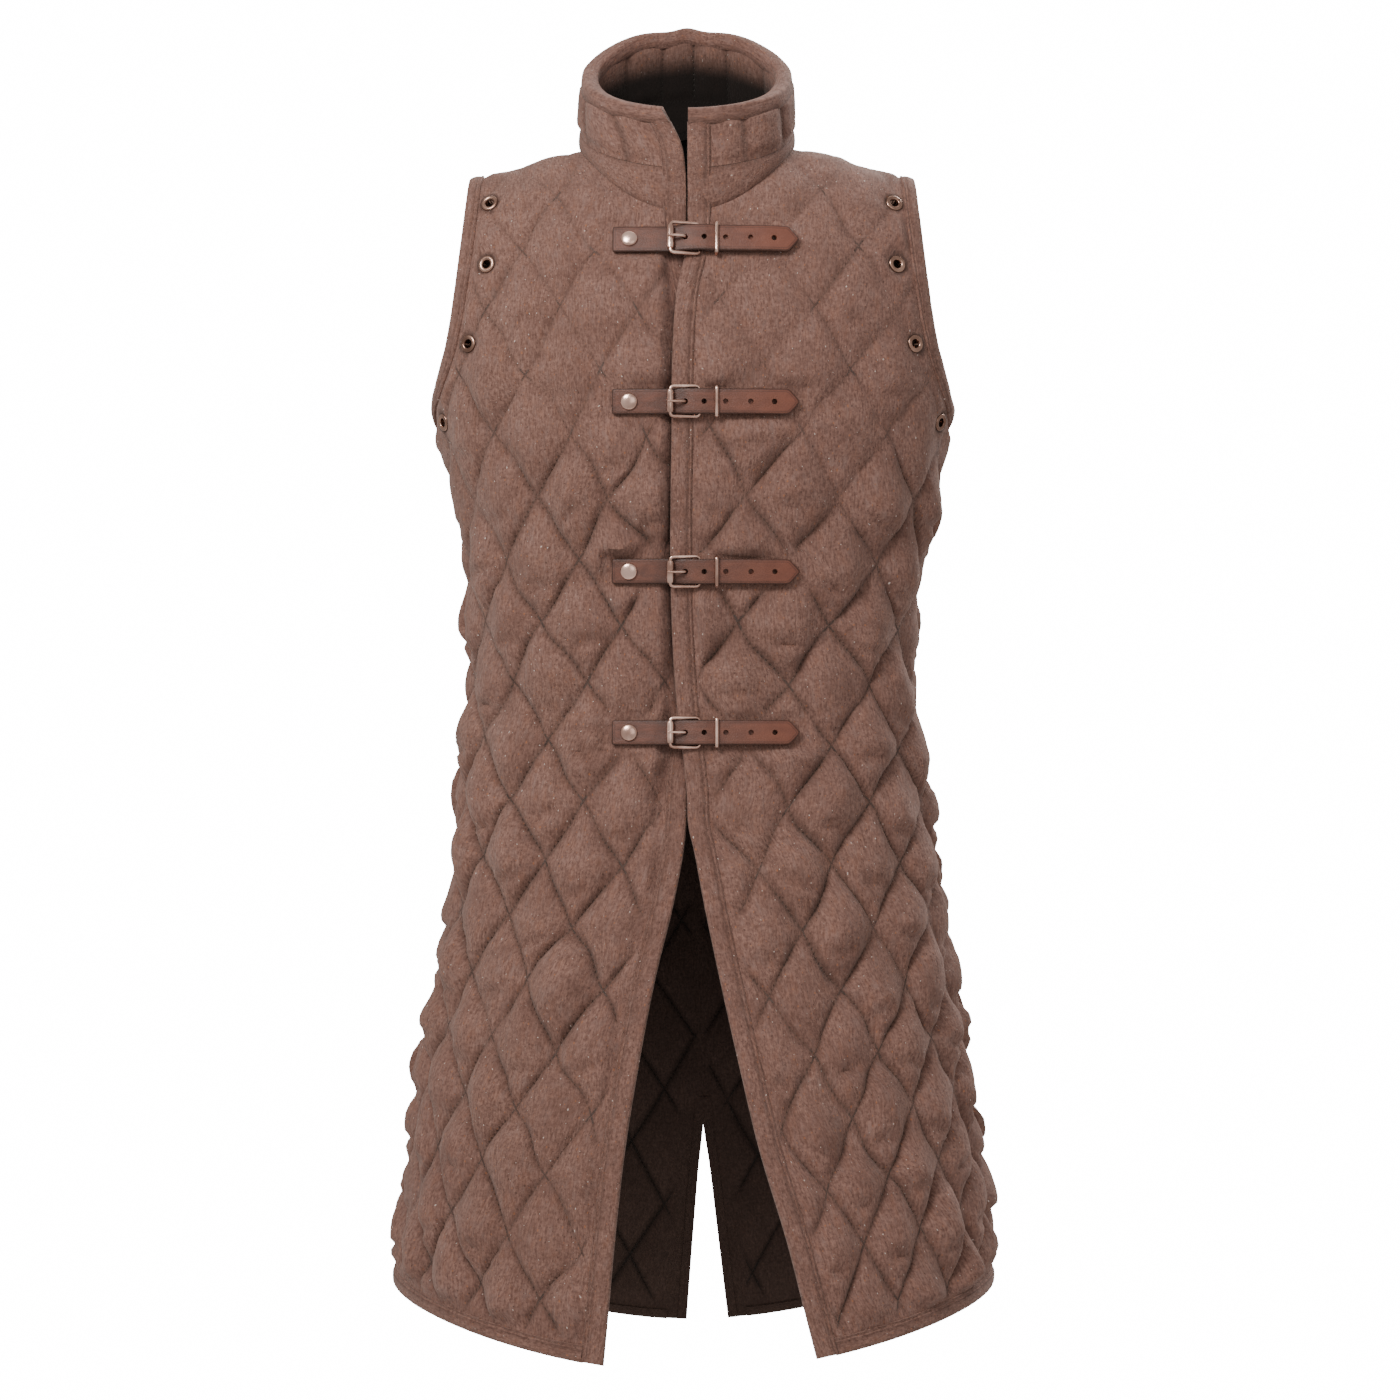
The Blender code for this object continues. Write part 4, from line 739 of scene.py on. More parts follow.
def frame_at(x, z, out):
    """Position and axes of a small turned piece over the chest."""
    xs = np.array([x, x + 1.0])
    zs = np.array([z, z])
    lower = chest(xs, zs, np.array([0.0, 0.0]))
    upper = chest(xs, zs, np.array([out, out]))
    axis = unit(upper[0] - lower[0])
    e1 = lower[1] - lower[0]
    e1 = unit(e1 - axis * (e1 @ axis))
    return upper[0], e1, np.cross(axis, e1), axis


# Sizes of the finer meshes
EDGE_FINE = 4.0
LINING_DIVISIONS = 10
CLEAR_OF_LINES = 1.7
RING_SIDES = 24
STRIP_STEP = 4.0
STITCH_LENGTH = 4.0

# Relief of the quilting
FULLNESS = 1.85
STITCH_SINK = 2.6
QUILT_SAG = 0.3
UNEVEN = 0.34
LINING_RELIEF = 3.0
LEAST_WALL = 1.6
PUCKER = 1.4
PUCKER_REACH = 13.0
DENT = 1.5
SLOPE = 2.0
WARP = 4.2
SEAM_SINK = 1.3
CREASE_SHARE = 0.9
CREASE_DEEP = 0.6
CREASE_WIDE = 0.085
CREASE_SOFT = 0.25
CREASE_PLACE = (0.22, 0.3)
CREASE_SLANT = 0.5
CREASE_REACH = (0.26, 0.2)
CHEST_PUCKER = 0.4
# How strongly the painted valley shade and the thread show: a base share, more on the skirt, more in patches
LINE_SHOWS = (0.4, 0.48, 0.42)
LINE_LEAST = 0.1
PATCH_SHARE = 0.25
SKIRT_FROM = 180.0
SKIRT_RUN = 160.0
PUCKER_GRAIN = (6.5, 6.5)
DENT_GRAIN = (17.0, 17.0)
SLOPE_GRAIN = (75.0, 95.0)
PATCH_GRAIN = (44.0, 58.0)
WARP_GRAIN = (29.0, 36.0)
SINK_REACH = 3.0

# Shade in the hollows
NECK_SHADE = 1.0
LAP_SHADE = 0.85
LAP_REACH = 4.5
EYELET_SHADE = 0.6
EYELET_SHADE_WIDE = 1.3
LAP_ZONE = (55.0, 20.0, 560.0, 40.0)
NECK_SHADE_FROM = 190.0
NECK_SHADE_RUN = 130.0

# The quilting's own grid: places across and down it, against u and v in decimetres
GRID_ORIGIN = 600.0
GRID_SCALE = 100.0
GRID_TOP = -2.0
GRID_ACROSS = {
    RIGHT: (0.2799, 1.6606, 0.1029, 0.0357, 0.0012),
    LEFT: (0.3573, 1.5926, 0.1073, 0.0962, 0.0331),
}
GRID_DOWN = {
    RIGHT: (3.2421, 0.0907, 1.0285, 0.0432, 0.0010),
    LEFT: (3.2126, 0.0501, 0.9974, 0.0566, 0.0037),
}
GRID_SLOPES = (1.66, 1.04)
LINE_GAP = 50.3
LINE_RUN = 55.4

# Folded strip: distance in from the edge and height over the inner surface
FOLD = columns(("across", "rise"), (
    (7.0, -0.9), (0.4, -0.9), (-0.3, -0.6), (-0.5, 0.6), (-0.6, 2.4), (-0.5, 4.4), (-0.1, 5.6), (0.6, 6.2),
    (1.4, 6.6), (2.2, 6.8), (3.2, 6.95), (5.5, 7.1), (8.0, 7.1), (10.5, 7.0), (12.8, 6.6), (13.8, 5.8),
    (14.8, 6.35), (15.6, 6.2), (16.1, 5.6), (16.1, 4.6), (15.0, 4.4), (0.3, 4.4), (0.1, 4.3), (0.1, 0.2),
    (0.3, -0.2), (7.0, -0.2),
))
FOLD_WIDE = 16.0
FOLD_STITCH = 13.8
FOLD_RIPPLE = 0.16
NO_STITCH = 20.0


def hashed(a, b, seed):
    """Seeded number from 0 to 1 for each pair of whole numbers."""
    h = np.sin(a * 127.1 + b * 311.7 + seed * 74.7) * 43758.5453
    return h - np.floor(h)


def grain(uv, size, seed):
    return value_noise(uv[:, 0] / size[0], uv[:, 1] / size[1], seed)


def value_noise(x, y, seed):
    """Smooth seeded noise from -1 to 1 over a unit grid."""
    i = np.floor(x)
    j = np.floor(y)
    fx = ramp(x - i)
    fy = ramp(y - j)
    top = hashed(i, j, seed) * (1 - fx) + hashed(i + 1, j, seed) * fx
    low = hashed(i, j + 1, seed) * (1 - fx) + hashed(i + 1, j + 1, seed) * fx
    return 2 * (top * (1 - fy) + low * fy) - 1


def fine_stations(points, step):
    """Whole stations of a run, with equal steps between them."""
    lengths = np.linalg.norm(np.diff(np.array(points), axis=0), axis=1)
    stations = [0.0]
    for k, length in enumerate(lengths):
        count = max(1, int(round(length / step)))
        stations.extend(k + (j + 1) / count for j in range(count))
    return np.array(stations)


def on_run(points, stations):
    p = np.array(points)
    t = np.arange(len(p), dtype=float)
    return np.stack([curve(stations, t, p[:, k]) for k in range(p.shape[1])], axis=1)


def fine_run(points, step):
    return on_run(points, fine_stations(points, step))


def lattice(side, uv):
    """Places across and down the quilting's grid, whose lines are whole sums and differences."""
    u = uv[:, 0] / GRID_SCALE
    v = (uv[:, 1] - GRID_ORIGIN) / GRID_SCALE
    bent = np.maximum(v, GRID_TOP)
    terms = (np.ones(len(u)), u, v, u * bent, bent * bent)
    across = sum(c * t for c, t in zip(GRID_ACROSS[side], terms))
    down = sum(c * t for c, t in zip(GRID_DOWN[side], terms))
    return across, down


def off_lattice(side, across, down):
    """Points in u and v of places on the quilting's grid."""
    uv = np.stack((across / GRID_SLOPES[0], down / GRID_SLOPES[1]), axis=1) * GRID_SCALE
    uv[:, 1] += GRID_ORIGIN - GRID_DOWN[side][0] / GRID_SLOPES[1] * GRID_SCALE
    for _ in range(14):
        a, b = lattice(side, uv)
        uv[:, 0] += (across - a) / GRID_SLOPES[0] * GRID_SCALE
        uv[:, 1] += (down - b) / GRID_SLOPES[1] * GRID_SCALE
    return uv


def stitch_field(side, uv):
    """Distance to the nearest quilting line, and the way along it."""
    a, b = lattice(side, uv)
    p = a + b
    q = a - b
    to_p = np.abs(p - np.round(p)) * LINE_GAP
    to_q = np.abs(q - np.round(q)) * LINE_GAP
    along = np.where(to_p < to_q, q, p) * LINE_RUN
    return np.minimum(to_p, to_q), along


def plainness(runs, inner, frames, face, uv, drop, x):
    """1 where the quilting shows, and 0 under strips, seams, eyelets and straps."""
    fade = np.ones(len(uv))
    for name in ("edge", "hem", "arm"):
        fade = fade * ramp(distance_to_line(uv, inner[name]) / PLAIN_STRIP_RUN)
        strip = distance_to_line(uv, runs[name])
        wide = {"edge": FRONT_STRIP, "hem": HEM_STRIP, "arm": ARM_STRIP}[name]
        if not (name == "edge" and face > 0):
            fade = fade * (strip > wide - 0.5)
    if face > 0:
        fade = fade * np.where((uv[:, 0] < FRONT_STRIP + 0.5) & (uv[:, 1] > SLIT_STRIP_DROP - 2), 0, 1)
    for name, plain, run in PLAIN_SEAMS:
        fade = fade * ramp((distance_to_line(uv, runs[name]) - plain) / run)
    for ring in frames:
        fade = fade * ramp((from_eyelet(uv, ring) - EYELET_PAD) / PLAIN_EYELET_RUN)
    if face < 0:
        ends = ramp_between(x, STRAP_PAD_ZONE)
        for strap in STRAP_DROPS:
            near = 1 - ramp((np.abs(drop - strap) - STRAP_PAD) / STRAP_PAD_RUN)
            fade = fade * (1 - near * ends)
    return fade


def quilting(runs, inner, frames, side, face, uv):
    """Height of the quilting over the wall, with its stitch distance, run, and how strongly the painted
    valley shade and the thread show.
    """
    seed = 3 + side + 5 * face
    a, b = lattice(side, uv)
    p = a + b
    q = a - b
    i = np.floor(p)
    j = np.floor(q)
    fp = p - i
    fq = q - j
    down = fp - fq
    across = fp + fq - 1
    form = np.maximum(np.sin(math.pi * fp) * np.sin(math.pi * fq), 0.0) ** PILLOW_ROUNDNESS
    base = base_point(side, face, uv[:, 0], uv[:, 1])
    drop = -base[:, 2]
    full = curve(drop, PILLOW["drop"], PILLOW["height"]) * FULLNESS
    swell = 1 + QUILT_SAG * down + UNEVEN * (2 * hashed(i, j, seed) - 1)
    chance = hashed(i, j, seed + 11)
    place_down = CREASE_PLACE[0] + CREASE_PLACE[1] * hashed(i, j, seed + 12)
    slant = CREASE_SLANT * (hashed(i, j, seed + 13) - 0.5)
    deep = CREASE_DEEP * ramp((chance - 1 + CREASE_SHARE) / CREASE_SOFT)
    trough = np.exp(-(((down - place_down - slant * across) / CREASE_WIDE) ** 2))
    reach = CREASE_REACH[0] + CREASE_REACH[1] * hashed(i, j, seed + 14)
    crease = deep * trough * np.exp(-((across / reach) ** 4))
    fade = plainness(runs, inner, frames, face, uv, drop, base[:, 0])
    away, along = stitch_field(side, uv)
    low = ramp((drop - SKIRT_FROM) / SKIRT_RUN)
    wave = grain(uv, PUCKER_GRAIN, seed + 1)
    slow = grain(uv, DENT_GRAIN, seed + 2)
    broad = grain(uv, SLOPE_GRAIN, seed + 4)
    pucker = PUCKER * wave * np.exp(-away / PUCKER_REACH) + DENT * slow
    pucker = (CHEST_PUCKER + (1 - CHEST_PUCKER) * low) * pucker
    pucker = pucker + SLOPE * broad - STITCH_SINK * low
    sink = np.zeros(len(uv))
    for name in ("seam", "shoulder"):
        sink = np.maximum(sink, np.exp(-distance_to_line(uv, runs[name]) / SINK_REACH))
    if face > 0:
        centre = np.exp(-distance_to_line(uv, runs["edge"]) / SINK_REACH)
        sink = np.maximum(sink, centre * (uv[:, 1] < SLIT_STRIP_DROP))
    patch = grain(uv, PATCH_GRAIN, seed + 6)
    swollen = full * (1 + PATCH_SHARE * patch) * form * (swell - crease) * fade
    rise = swollen + pucker * fade - SEAM_SINK * sink
    rise = np.maximum(rise, LEAST_WALL - WALL)
    # The painted valley shade shows more on the skirt, where the quilting is deeper, and in random patches
    shown = fade * np.clip(LINE_SHOWS[0] + LINE_SHOWS[1] * low + LINE_SHOWS[2] * patch, LINE_LEAST, 1.0)
    sway = np.stack([grain(uv, WARP_GRAIN, seed + k) for k in (7, 8)], axis=1)
    return rise, away, along, fade, form, shown, WARP * sway * fade[:, None]


def write_piece(name, points, faces, looks, nodes, fields, face_looks=None, sharp=50.0):
    """Writes a closed piece in metres, which rides on the garment and stands for its nodes."""
    mesh = bpy.data.meshes.new(name)
    mesh.from_pydata((np.asarray(points) * MM).tolist(), [], [tuple(int(i) for i in f) for f in faces])
    for look in looks:
        mesh.materials.append(look)
    if face_looks is not None:
        mesh.polygons.foreach_set("material_index", np.asarray(face_looks, dtype=np.int32))
    for field_name, values in fields.items():
        attribute = mesh.attributes.new(field_name, "FLOAT_VECTOR", "POINT")
        attribute.data.foreach_set("vector", np.asarray(values, dtype=np.float32).ravel())
    bm = bmesh.new()
    bm.from_mesh(mesh)
    loose = [v for v in bm.verts if not v.link_faces]
    bmesh.ops.delete(bm, geom=loose, context="VERTS")
    bmesh.ops.recalc_face_normals(bm, faces=bm.faces)
    if bm.calc_volume(signed=True) < 0:
        bmesh.ops.reverse_faces(bm, faces=bm.faces)
    bm.to_mesh(mesh)
    bm.free()
    mesh.polygons.foreach_set("use_smooth", np.ones(len(mesh.polygons), dtype=bool))
    mesh.set_sharp_from_angle(angle=math.radians(sharp))
    piece = bpy.data.objects.new(name, mesh)
    bpy.context.scene.collection.objects.link(piece)
    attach(piece, "root")
    if nodes:
        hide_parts(*nodes)
    return piece


def loft_faces(count, rings, closed_ring=True, closed_run=False, caps=True):
    faces = []
    last = rings if closed_run else rings - 1
    for i in range(last):
        j = (i + 1) % rings
        for k in range(count if closed_ring else count - 1):
            m = (k + 1) % count
            faces.append((i * count + k, i * count + m, j * count + m, j * count + k))
    if caps and not closed_run:
        faces.append(tuple(range(count)))
        faces.append(tuple((rings - 1) * count + k for k in range(count)))
    return faces


def wall_faces(outer, inner):
    """Faces of an outer and an inner skin that share their loops, and which of them are lining."""
    outer_uv, outer_tris = outer
    inner_uv, inner_tris = inner
    used = set()
    for t in outer_tris:
        used.update(((t[0], t[1]), (t[1], t[2]), (t[2], t[0])))
    rim = [(a, b) for (a, b) in used if (b, a) not in used]
    rim.sort()
    find = {key(p): i for i, p in enumerate(inner_uv)}
    shift = len(outer_uv)
    faces = list(outer_tris)
    faces.extend(tuple(shift + i for i in reversed(t)) for t in inner_tris)
    for a, b in rim:
        faces.append((b, a, find[key(outer_uv[a])] + shift, find[key(outer_uv[b])] + shift))
    looks = [0] * len(outer_tris) + [1] * len(inner_tris) + [0] * len(rim)
    return faces, looks


def fine_grid(side, loop, rings, divisions):
    """Points on the quilting's own grid inside a panel, with links along its stitch lines."""
    across, down = lattice(side, np.array(loop))
    span_i = np.arange(int(across.min() * divisions) - 1, int(across.max() * divisions) + 2)
    span_j = np.arange(int(down.min() * divisions) - 1, int(down.max() * divisions) + 2)
    grid_i, grid_j = np.meshgrid(span_i, span_j, indexing="ij")
    grid_i = grid_i.ravel()
    grid_j = grid_j.ravel()
    points = off_lattice(side, grid_i / divisions, grid_j / divisions)
    clear = CLEAR_OF_LINES * DIVISIONS / divisions
    keep = inside(points, loop) & (distance_to_line(points, list(loop) + [loop[0]]) > clear)
    for ring in rings:
        keep &= ~inside(points, ring)
        keep &= distance_to_line(points, ring + [ring[0]]) > clear
    index = {}
    kept = []
    for k in np.flatnonzero(keep):
        index[(int(grid_i[k]), int(grid_j[k]))] = len(kept)
        kept.append(tuple(points[k]))
    links = []
    for (i, j), k in index.items():
        for dj, line in ((1, i - j), (-1, i + j)):
            if line % divisions == 0 and (i + 1, j + dj) in index:
                links.append((k, index[(i + 1, j + dj)]))
    return kept, links


def flat_area(loop):
    p = np.array(loop)
    return 0.5 * abs(np.sum(p[:, 0] * np.roll(p[:, 1], -1) - p[:, 1] * np.roll(p[:, 0], -1)))


def under_lap(side, face, points):
    """Shade of the right front along the edge of the left front that laps over it."""
    if (side, face) != (RIGHT, FRONT):
        return np.zeros(len(points))
    drop = -points[:, 2]
    edge = edge_x(LEFT, FRONT, drop)
    closed = ramp_between(drop, LAP_ZONE)
    return LAP_SHADE * closed * ramp((points[:, 0] - edge + LAP_REACH) / LAP_REACH) ** 2


def panel(name, side, face):
    """One quilted panel: stitched face cloth outside, dark lining inside."""
    runs, inner, loop = panel_cut(side, face)
    fine = []
    for run in RUNS:
        fine.extend(tuple(q) for q in fine_run(runs[run], EDGE_FINE)[:-1])
    frames = eyelet_frames(side, face)
    holes = [ring_of(f, EYELET_HOLE, RING_SIDES) for f in frames]
    pads = [ring_of(f, EYELET_PAD, RING_SIDES) for f in frames]
    pad_lines = [pad + [pad[0]] for pad in pads]
    points, links = fine_grid(side, fine, pads, DIVISIONS)
    outer = cut_flat([fine] + holes, pad_lines, points, links)
    few, few_links = fine_grid(side, fine, pads, LINING_DIVISIONS)
    plain = cut_flat([fine] + holes, pad_lines, few, few_links)
    rise, away, along, _, _, shown, sway = quilting(runs, inner, frames, side, face, outer[0])
    outer_points = place(side, face, outer[0] + sway, WALL + rise)
    outer_points = press_flat(outer_points, outer[0], frames, WALL, side, face)
    _, away_in, along_in, fade_in, form_in, _, _ = quilting(runs, inner, frames, side, face, plain[0])
    inner_points = place(side, face, plain[0], -LINING_RELIEF * form_in * fade_in)
    inner_points = press_flat(inner_points, plain[0], frames, 0.0, side, face)
    faces, looks = wall_faces(outer, plain)
    points = np.concatenate((outer_points, inner_points))
    uv = np.concatenate((outer[0], plain[0])) * MM
    away = np.concatenate((away, away_in)) * MM
    along = np.concatenate((along, along_in)) * MM
    shown = np.concatenate((shown, fade_in))
    # Painted shade: the lining goes near black towards the neck, the right front darkens along the left
    # front's lapped edge, and the cloth darkens in a ring round each eyelet
    neck_dark = NECK_SHADE * ramp((inner_points[:, 2] + NECK_SHADE_FROM) / NECK_SHADE_RUN)
    shade = np.concatenate((under_lap(side, face, outer_points), neck_dark))
    for ring in frames:
        dark = np.exp(-(((from_eyelet(uv / MM, ring) - EYELET_PAD) / EYELET_SHADE_WIDE) ** 2))
        shade = np.maximum(shade, EYELET_SHADE * dark)
    fields = cloth_fields(uv[:, 0] + side, uv[:, 1] + face, shade, away, along, shown)
    piece = write_piece(name + "_cloth", points, faces, (TWEED, LINING), [name], fields,
                        looks, 70.0)
    size = np.array(loop)
    flat = (float(np.ptp(size[:, 0])) * MM, float(np.ptp(size[:, 1])) * MM)
    return piece, runs, inner, frames, flat, flat_area(loop) * MM * MM


def cloth_fields(across, down, shade, away, along, shown):
    """Coordinates of the weave with its painted shade, and of the stitches with how strongly their painted
    valley shade and thread show.
    """
    return {
        "cloth": np.stack((across, down, shade), axis=1),
        "stitch": np.stack((away, along, shown), axis=1),
    }


def fold_profile(wide, lift):
    """The folded strip's profile for a strip of another width."""
    across = FOLD["across"]
    rise = FOLD["rise"]
    stretched = np.where(across > FOLD_WIDE / 2, across - FOLD_WIDE + wide, across)
    raised = np.where((rise > WALL) & (across > 0), rise + lift, rise)
    return stretched, raised


def fold_fields(across, wide, runs_along, count):
    """Stitch and weave coordinates of a folded strip."""
    away = np.abs(across - wide + FOLD_WIDE - FOLD_STITCH)
    top = FOLD["rise"] > WALL + 1.0
    away = np.where(top, away, NO_STITCH)
    away = np.tile(away, count) * MM
    run = np.repeat(runs_along, len(across)) * MM
    wave = np.tile(across, count) * MM
    return cloth_fields(wave, run, np.zeros(len(run)), away, run, np.ones(len(run)))


def fold_looks(count, runs):
    """The turned-in part of a folded strip is of the lining."""
    return ([1, 1] + [0] * (count - 2)) * runs


def strip_skins(side, face, edge, inner, across, rise, wide, seed):
    """Rings of a folded strip along a panel's edge."""
    rings = []
    run = np.concatenate(([0.0], np.cumsum(np.linalg.norm(np.diff(edge, axis=0), axis=1))))
    for t, out in zip(across, rise):
        uv = edge + (inner - edge) * (t / wide)
        ripple = FOLD_RIPPLE * value_noise(run / 9.0, np.full(len(run), t / 6.0), seed)
        heights = np.full(len(uv), out) + (ripple if out > WALL + 0.5 else 0.0)
        rings.append(place(side, face, uv, heights))
    return np.stack(rings, axis=1), run


def strip_piece(name, side, face, edge, inner, wide, lift, seed, node):
    stations = fine_stations(edge, STRIP_STEP)
    edge = on_run(edge, stations)
    inner = on_run(inner, stations)
    across, rise = fold_profile(wide, lift)
    rings, run = strip_skins(side, face, edge, inner, across, rise, wide, seed)
    fields = fold_fields(across, wide, run, len(rings))
    faces = loft_faces(len(across), len(rings))
    looks = fold_looks(len(across), len(rings) - 1) + [0, 0]
    return write_strip(name, rings, faces, node, fields, looks)


def write_strip(name, rings, faces, node, fields, looks):
    points = rings.reshape(-1, 3)
    return write_piece(name, points, faces, (BINDING, LINING), [node], fields, looks)


def front_strip_piece(name, side, runs, inner, seed, node):
    """Strip along a front edge, from the hem and on up the collar's front."""
    stations = fine_stations(runs["edge"][:-1], STRIP_STEP)
    edge = on_run(runs["edge"][:-1], stations)
    line = on_run(inner["edge"][:-1], stations)
    wide = FRONT_STRIP
    across, rise = fold_profile(wide, 0.0)
    rings, run = strip_skins(side, FRONT, edge, line, across, rise, wide, seed)
    out = np.where(rise <= 0, COLLAR_INSIDE + rise, np.where(rise >= WALL, COLLAR_WALL + rise - WALL,
                   COLLAR_INSIDE + (COLLAR_WALL - COLLAR_INSIDE) * rise / WALL))
    upper = []
    for t in np.linspace(0.0, 1.0, 26):

        def height(g, t=t):
            low = foot_of(g) + 3.5
            high = collar_high(g) - BINDING_DEPTH + 2.0
            return low + (high - low) * t

        g_end = np.array([side * math.pi])
        g0 = collar_end_angle(side, height(g_end))
        g = g0 - side * across / NECK_FRONT
        z = height(g)
        ripple = FOLD_RIPPLE * value_noise(np.full(len(g), t * 12.0), across / 6.0, seed + 1)
        ripple = ripple * (rise > WALL + 0.5)
        x, y = collar_plan(g, out + ripple - rim_taper(g, z))
        upper.append(np.stack((x, y, z), axis=1))
    upper = np.array(upper)
    last = rings[-1]
    blend = [last + (upper[0] - last) * s for s in (0.33, 0.67)]
    rings = np.concatenate((rings, np.array(blend), upper))
    more = run[-1] + 5.0 * (1 + np.arange(len(upper) + 2))
    fields = fold_fields(across, wide, np.concatenate((run, more)), len(rings))
    faces = loft_faces(len(across), len(rings))
    looks = fold_looks(len(across), len(rings) - 1) + [0, 0]
    return write_strip(name, rings, faces, node, fields, looks)


def arm_strip_piece(name, side, cuts, seed, node):
    rings = []
    runs_along = []
    across, rise = fold_profile(ARM_STRIP, ARM_LIFT - STRIP_LIFT)
    for face in (FRONT, BACK):
        runs, inner = cuts[(face, side)]
        stations = fine_stations(runs["arm"], STRIP_STEP)
        edge = on_run(runs["arm"], stations)
        line = on_run(inner["arm"], stations)
        skin, run = strip_skins(side, face, edge, line, across, rise, ARM_STRIP, seed)
        if face < 0:
            rings.append(skin)
            runs_along.append(run)
        else:
            rings.append(skin[1:-1][::-1])
            runs_along.append(2 * run[-1] - run[1:-1][::-1])
    rings = np.concatenate(rings)
    fields = fold_fields(across, ARM_STRIP, np.concatenate(runs_along), len(rings))
    faces = loft_faces(len(across), len(rings), closed_run=True)
    looks = fold_looks(len(across), len(rings))
    return write_strip(name, rings, faces, node, fields, looks)


# Finer collar
COLLAR_STATIONS = np.concatenate(([0.0, 0.002], np.linspace(0.006, 0.994, 289), [0.998, 1.0]))
COLLAR_LENGTH = 420.0
COLLAR_SHADE = 0.97
COLLAR_SHADE_TO = 0.8
COLLAR_SHADE_RUN = 0.45
COLLAR_TALL = 50.0
BAND_TALL = 24.0
CHANNEL_END = 0.035
OUTER_FADE = (0.05, 0.16, 0.86, 0.12)
INNER_FADE = (0.02, 0.1, 0.9, 0.1)
COLLAR_UNEVEN = 0.5
CHANNEL_INSIDE = 2.6
BAND_UNEVEN = 0.35
BAND_SUNK = 0.6
BAND_PUFF = 2.4
RIM_RIPPLE = 0.3
RIM_STITCH = 1.6
FINE_ROWS = np.concatenate(([0.0, 0.015], np.linspace(0.05, 0.95, 15), [0.985, 1.0]))
BAND_FINE_ROWS = np.array((0.0, 0.06, 0.15, 0.3, 0.5, 0.7, 0.85, 0.94, 1.0))


def channel_form(c):
    ends = ramp(np.minimum(c, 1 - c) / CHANNEL_END - 0.9)
    return np.abs(np.sin(math.pi * CHANNELS * c)) ** PILLOW_ROUNDNESS * ends


def collar_skin(c, ts, low_of, high_of, out_of, is_foot, grow):
    """Grid of points of the collar, one row of stations for each height."""
    rows = []
    for t in ts:

        def height(gamma, t=t):
            return low_of(gamma) * (1 - t) + high_of(gamma) * t

        def foot(gamma):
            return collar_foot(gamma, grow)

        z_of = foot if is_foot and t == 0.0 else height
        rows.append(collar_piece(c, z_of, rim_taper, out_of(c, t)))
    return np.array(rows)


def collar_piece_wall(name, ts, low_of, high_of, out_of, in_of, is_foot, seam_lines, node):
    c = COLLAR_STATIONS
    out = collar_skin(c, ts, low_of, high_of, out_of, is_foot, COLLAR_WALL)
    back = collar_skin(c, ts, low_of, high_of, in_of, is_foot, 0.0)[::-1]
    rings = np.concatenate((out, back)).transpose(1, 0, 2)
    count = 2 * len(ts)
    faces = loft_faces(count, len(c))
    looks = ([0] * len(ts) + [1] * (len(ts) - 1) + [0]) * (len(c) - 1) + [0, 0]
    heights = np.concatenate((ts, ts[::-1]))
    run = np.repeat(c * COLLAR_LENGTH, count)
    rise = np.tile(heights, len(c)) * COLLAR_TALL
    if seam_lines:
        gap = COLLAR_LENGTH / CHANNELS
        away = np.abs(run / gap - np.round(run / gap)) * gap
        along = rise
    else:
        away = np.minimum(np.tile(heights, len(c)), 1 - np.tile(heights, len(c))) * BAND_TALL
        along = run
    lined = np.tile(np.concatenate((np.zeros(len(ts)), np.ones(len(ts)))), len(c))
    depth_in = np.tile(heights, len(c)) if seam_lines else np.zeros(len(run))
    # Painted shade: the collar's lining darkens to near black towards its foot, and the band's lining is
    # painted near black
    shade = lined * COLLAR_SHADE * ramp((COLLAR_SHADE_TO - depth_in) / COLLAR_SHADE_RUN)
    fields = cloth_fields(run * MM + 3.0, rise * MM, shade, away * MM, along * MM, np.ones(len(run)))
    points = rings.reshape(-1, 3)
    looks_of = (TWEED, LINING_LIGHT)
    return write_piece(name, points, faces, looks_of, [node], fields, looks, 60.0)


def collar_outer(c, t):
    uneven = COLLAR_UNEVEN * value_noise(c * 60.0, np.full(len(c), t * 4.0), 31)
    return COLLAR_WALL + (CHANNEL_RELIEF * channel_form(c) + uneven) * ramp_between(t, OUTER_FADE)


def collar_inner(c, t):
    return COLLAR_INSIDE - CHANNEL_INSIDE * channel_form(c) * ramp_between(t, INNER_FADE)


def band_outer(c, t):
    uneven = BAND_UNEVEN * value_noise(c * 50.0, np.full(len(c), t * 2.0), 41)
    puff = np.clip(1 - (2 * t - 1) ** 2, 0, 1) ** 0.6
    return COLLAR_WALL - BAND_SUNK + (BAND_PUFF + uneven) * puff


def band_inner(c, _):
    return np.full(len(c), COLLAR_INSIDE)


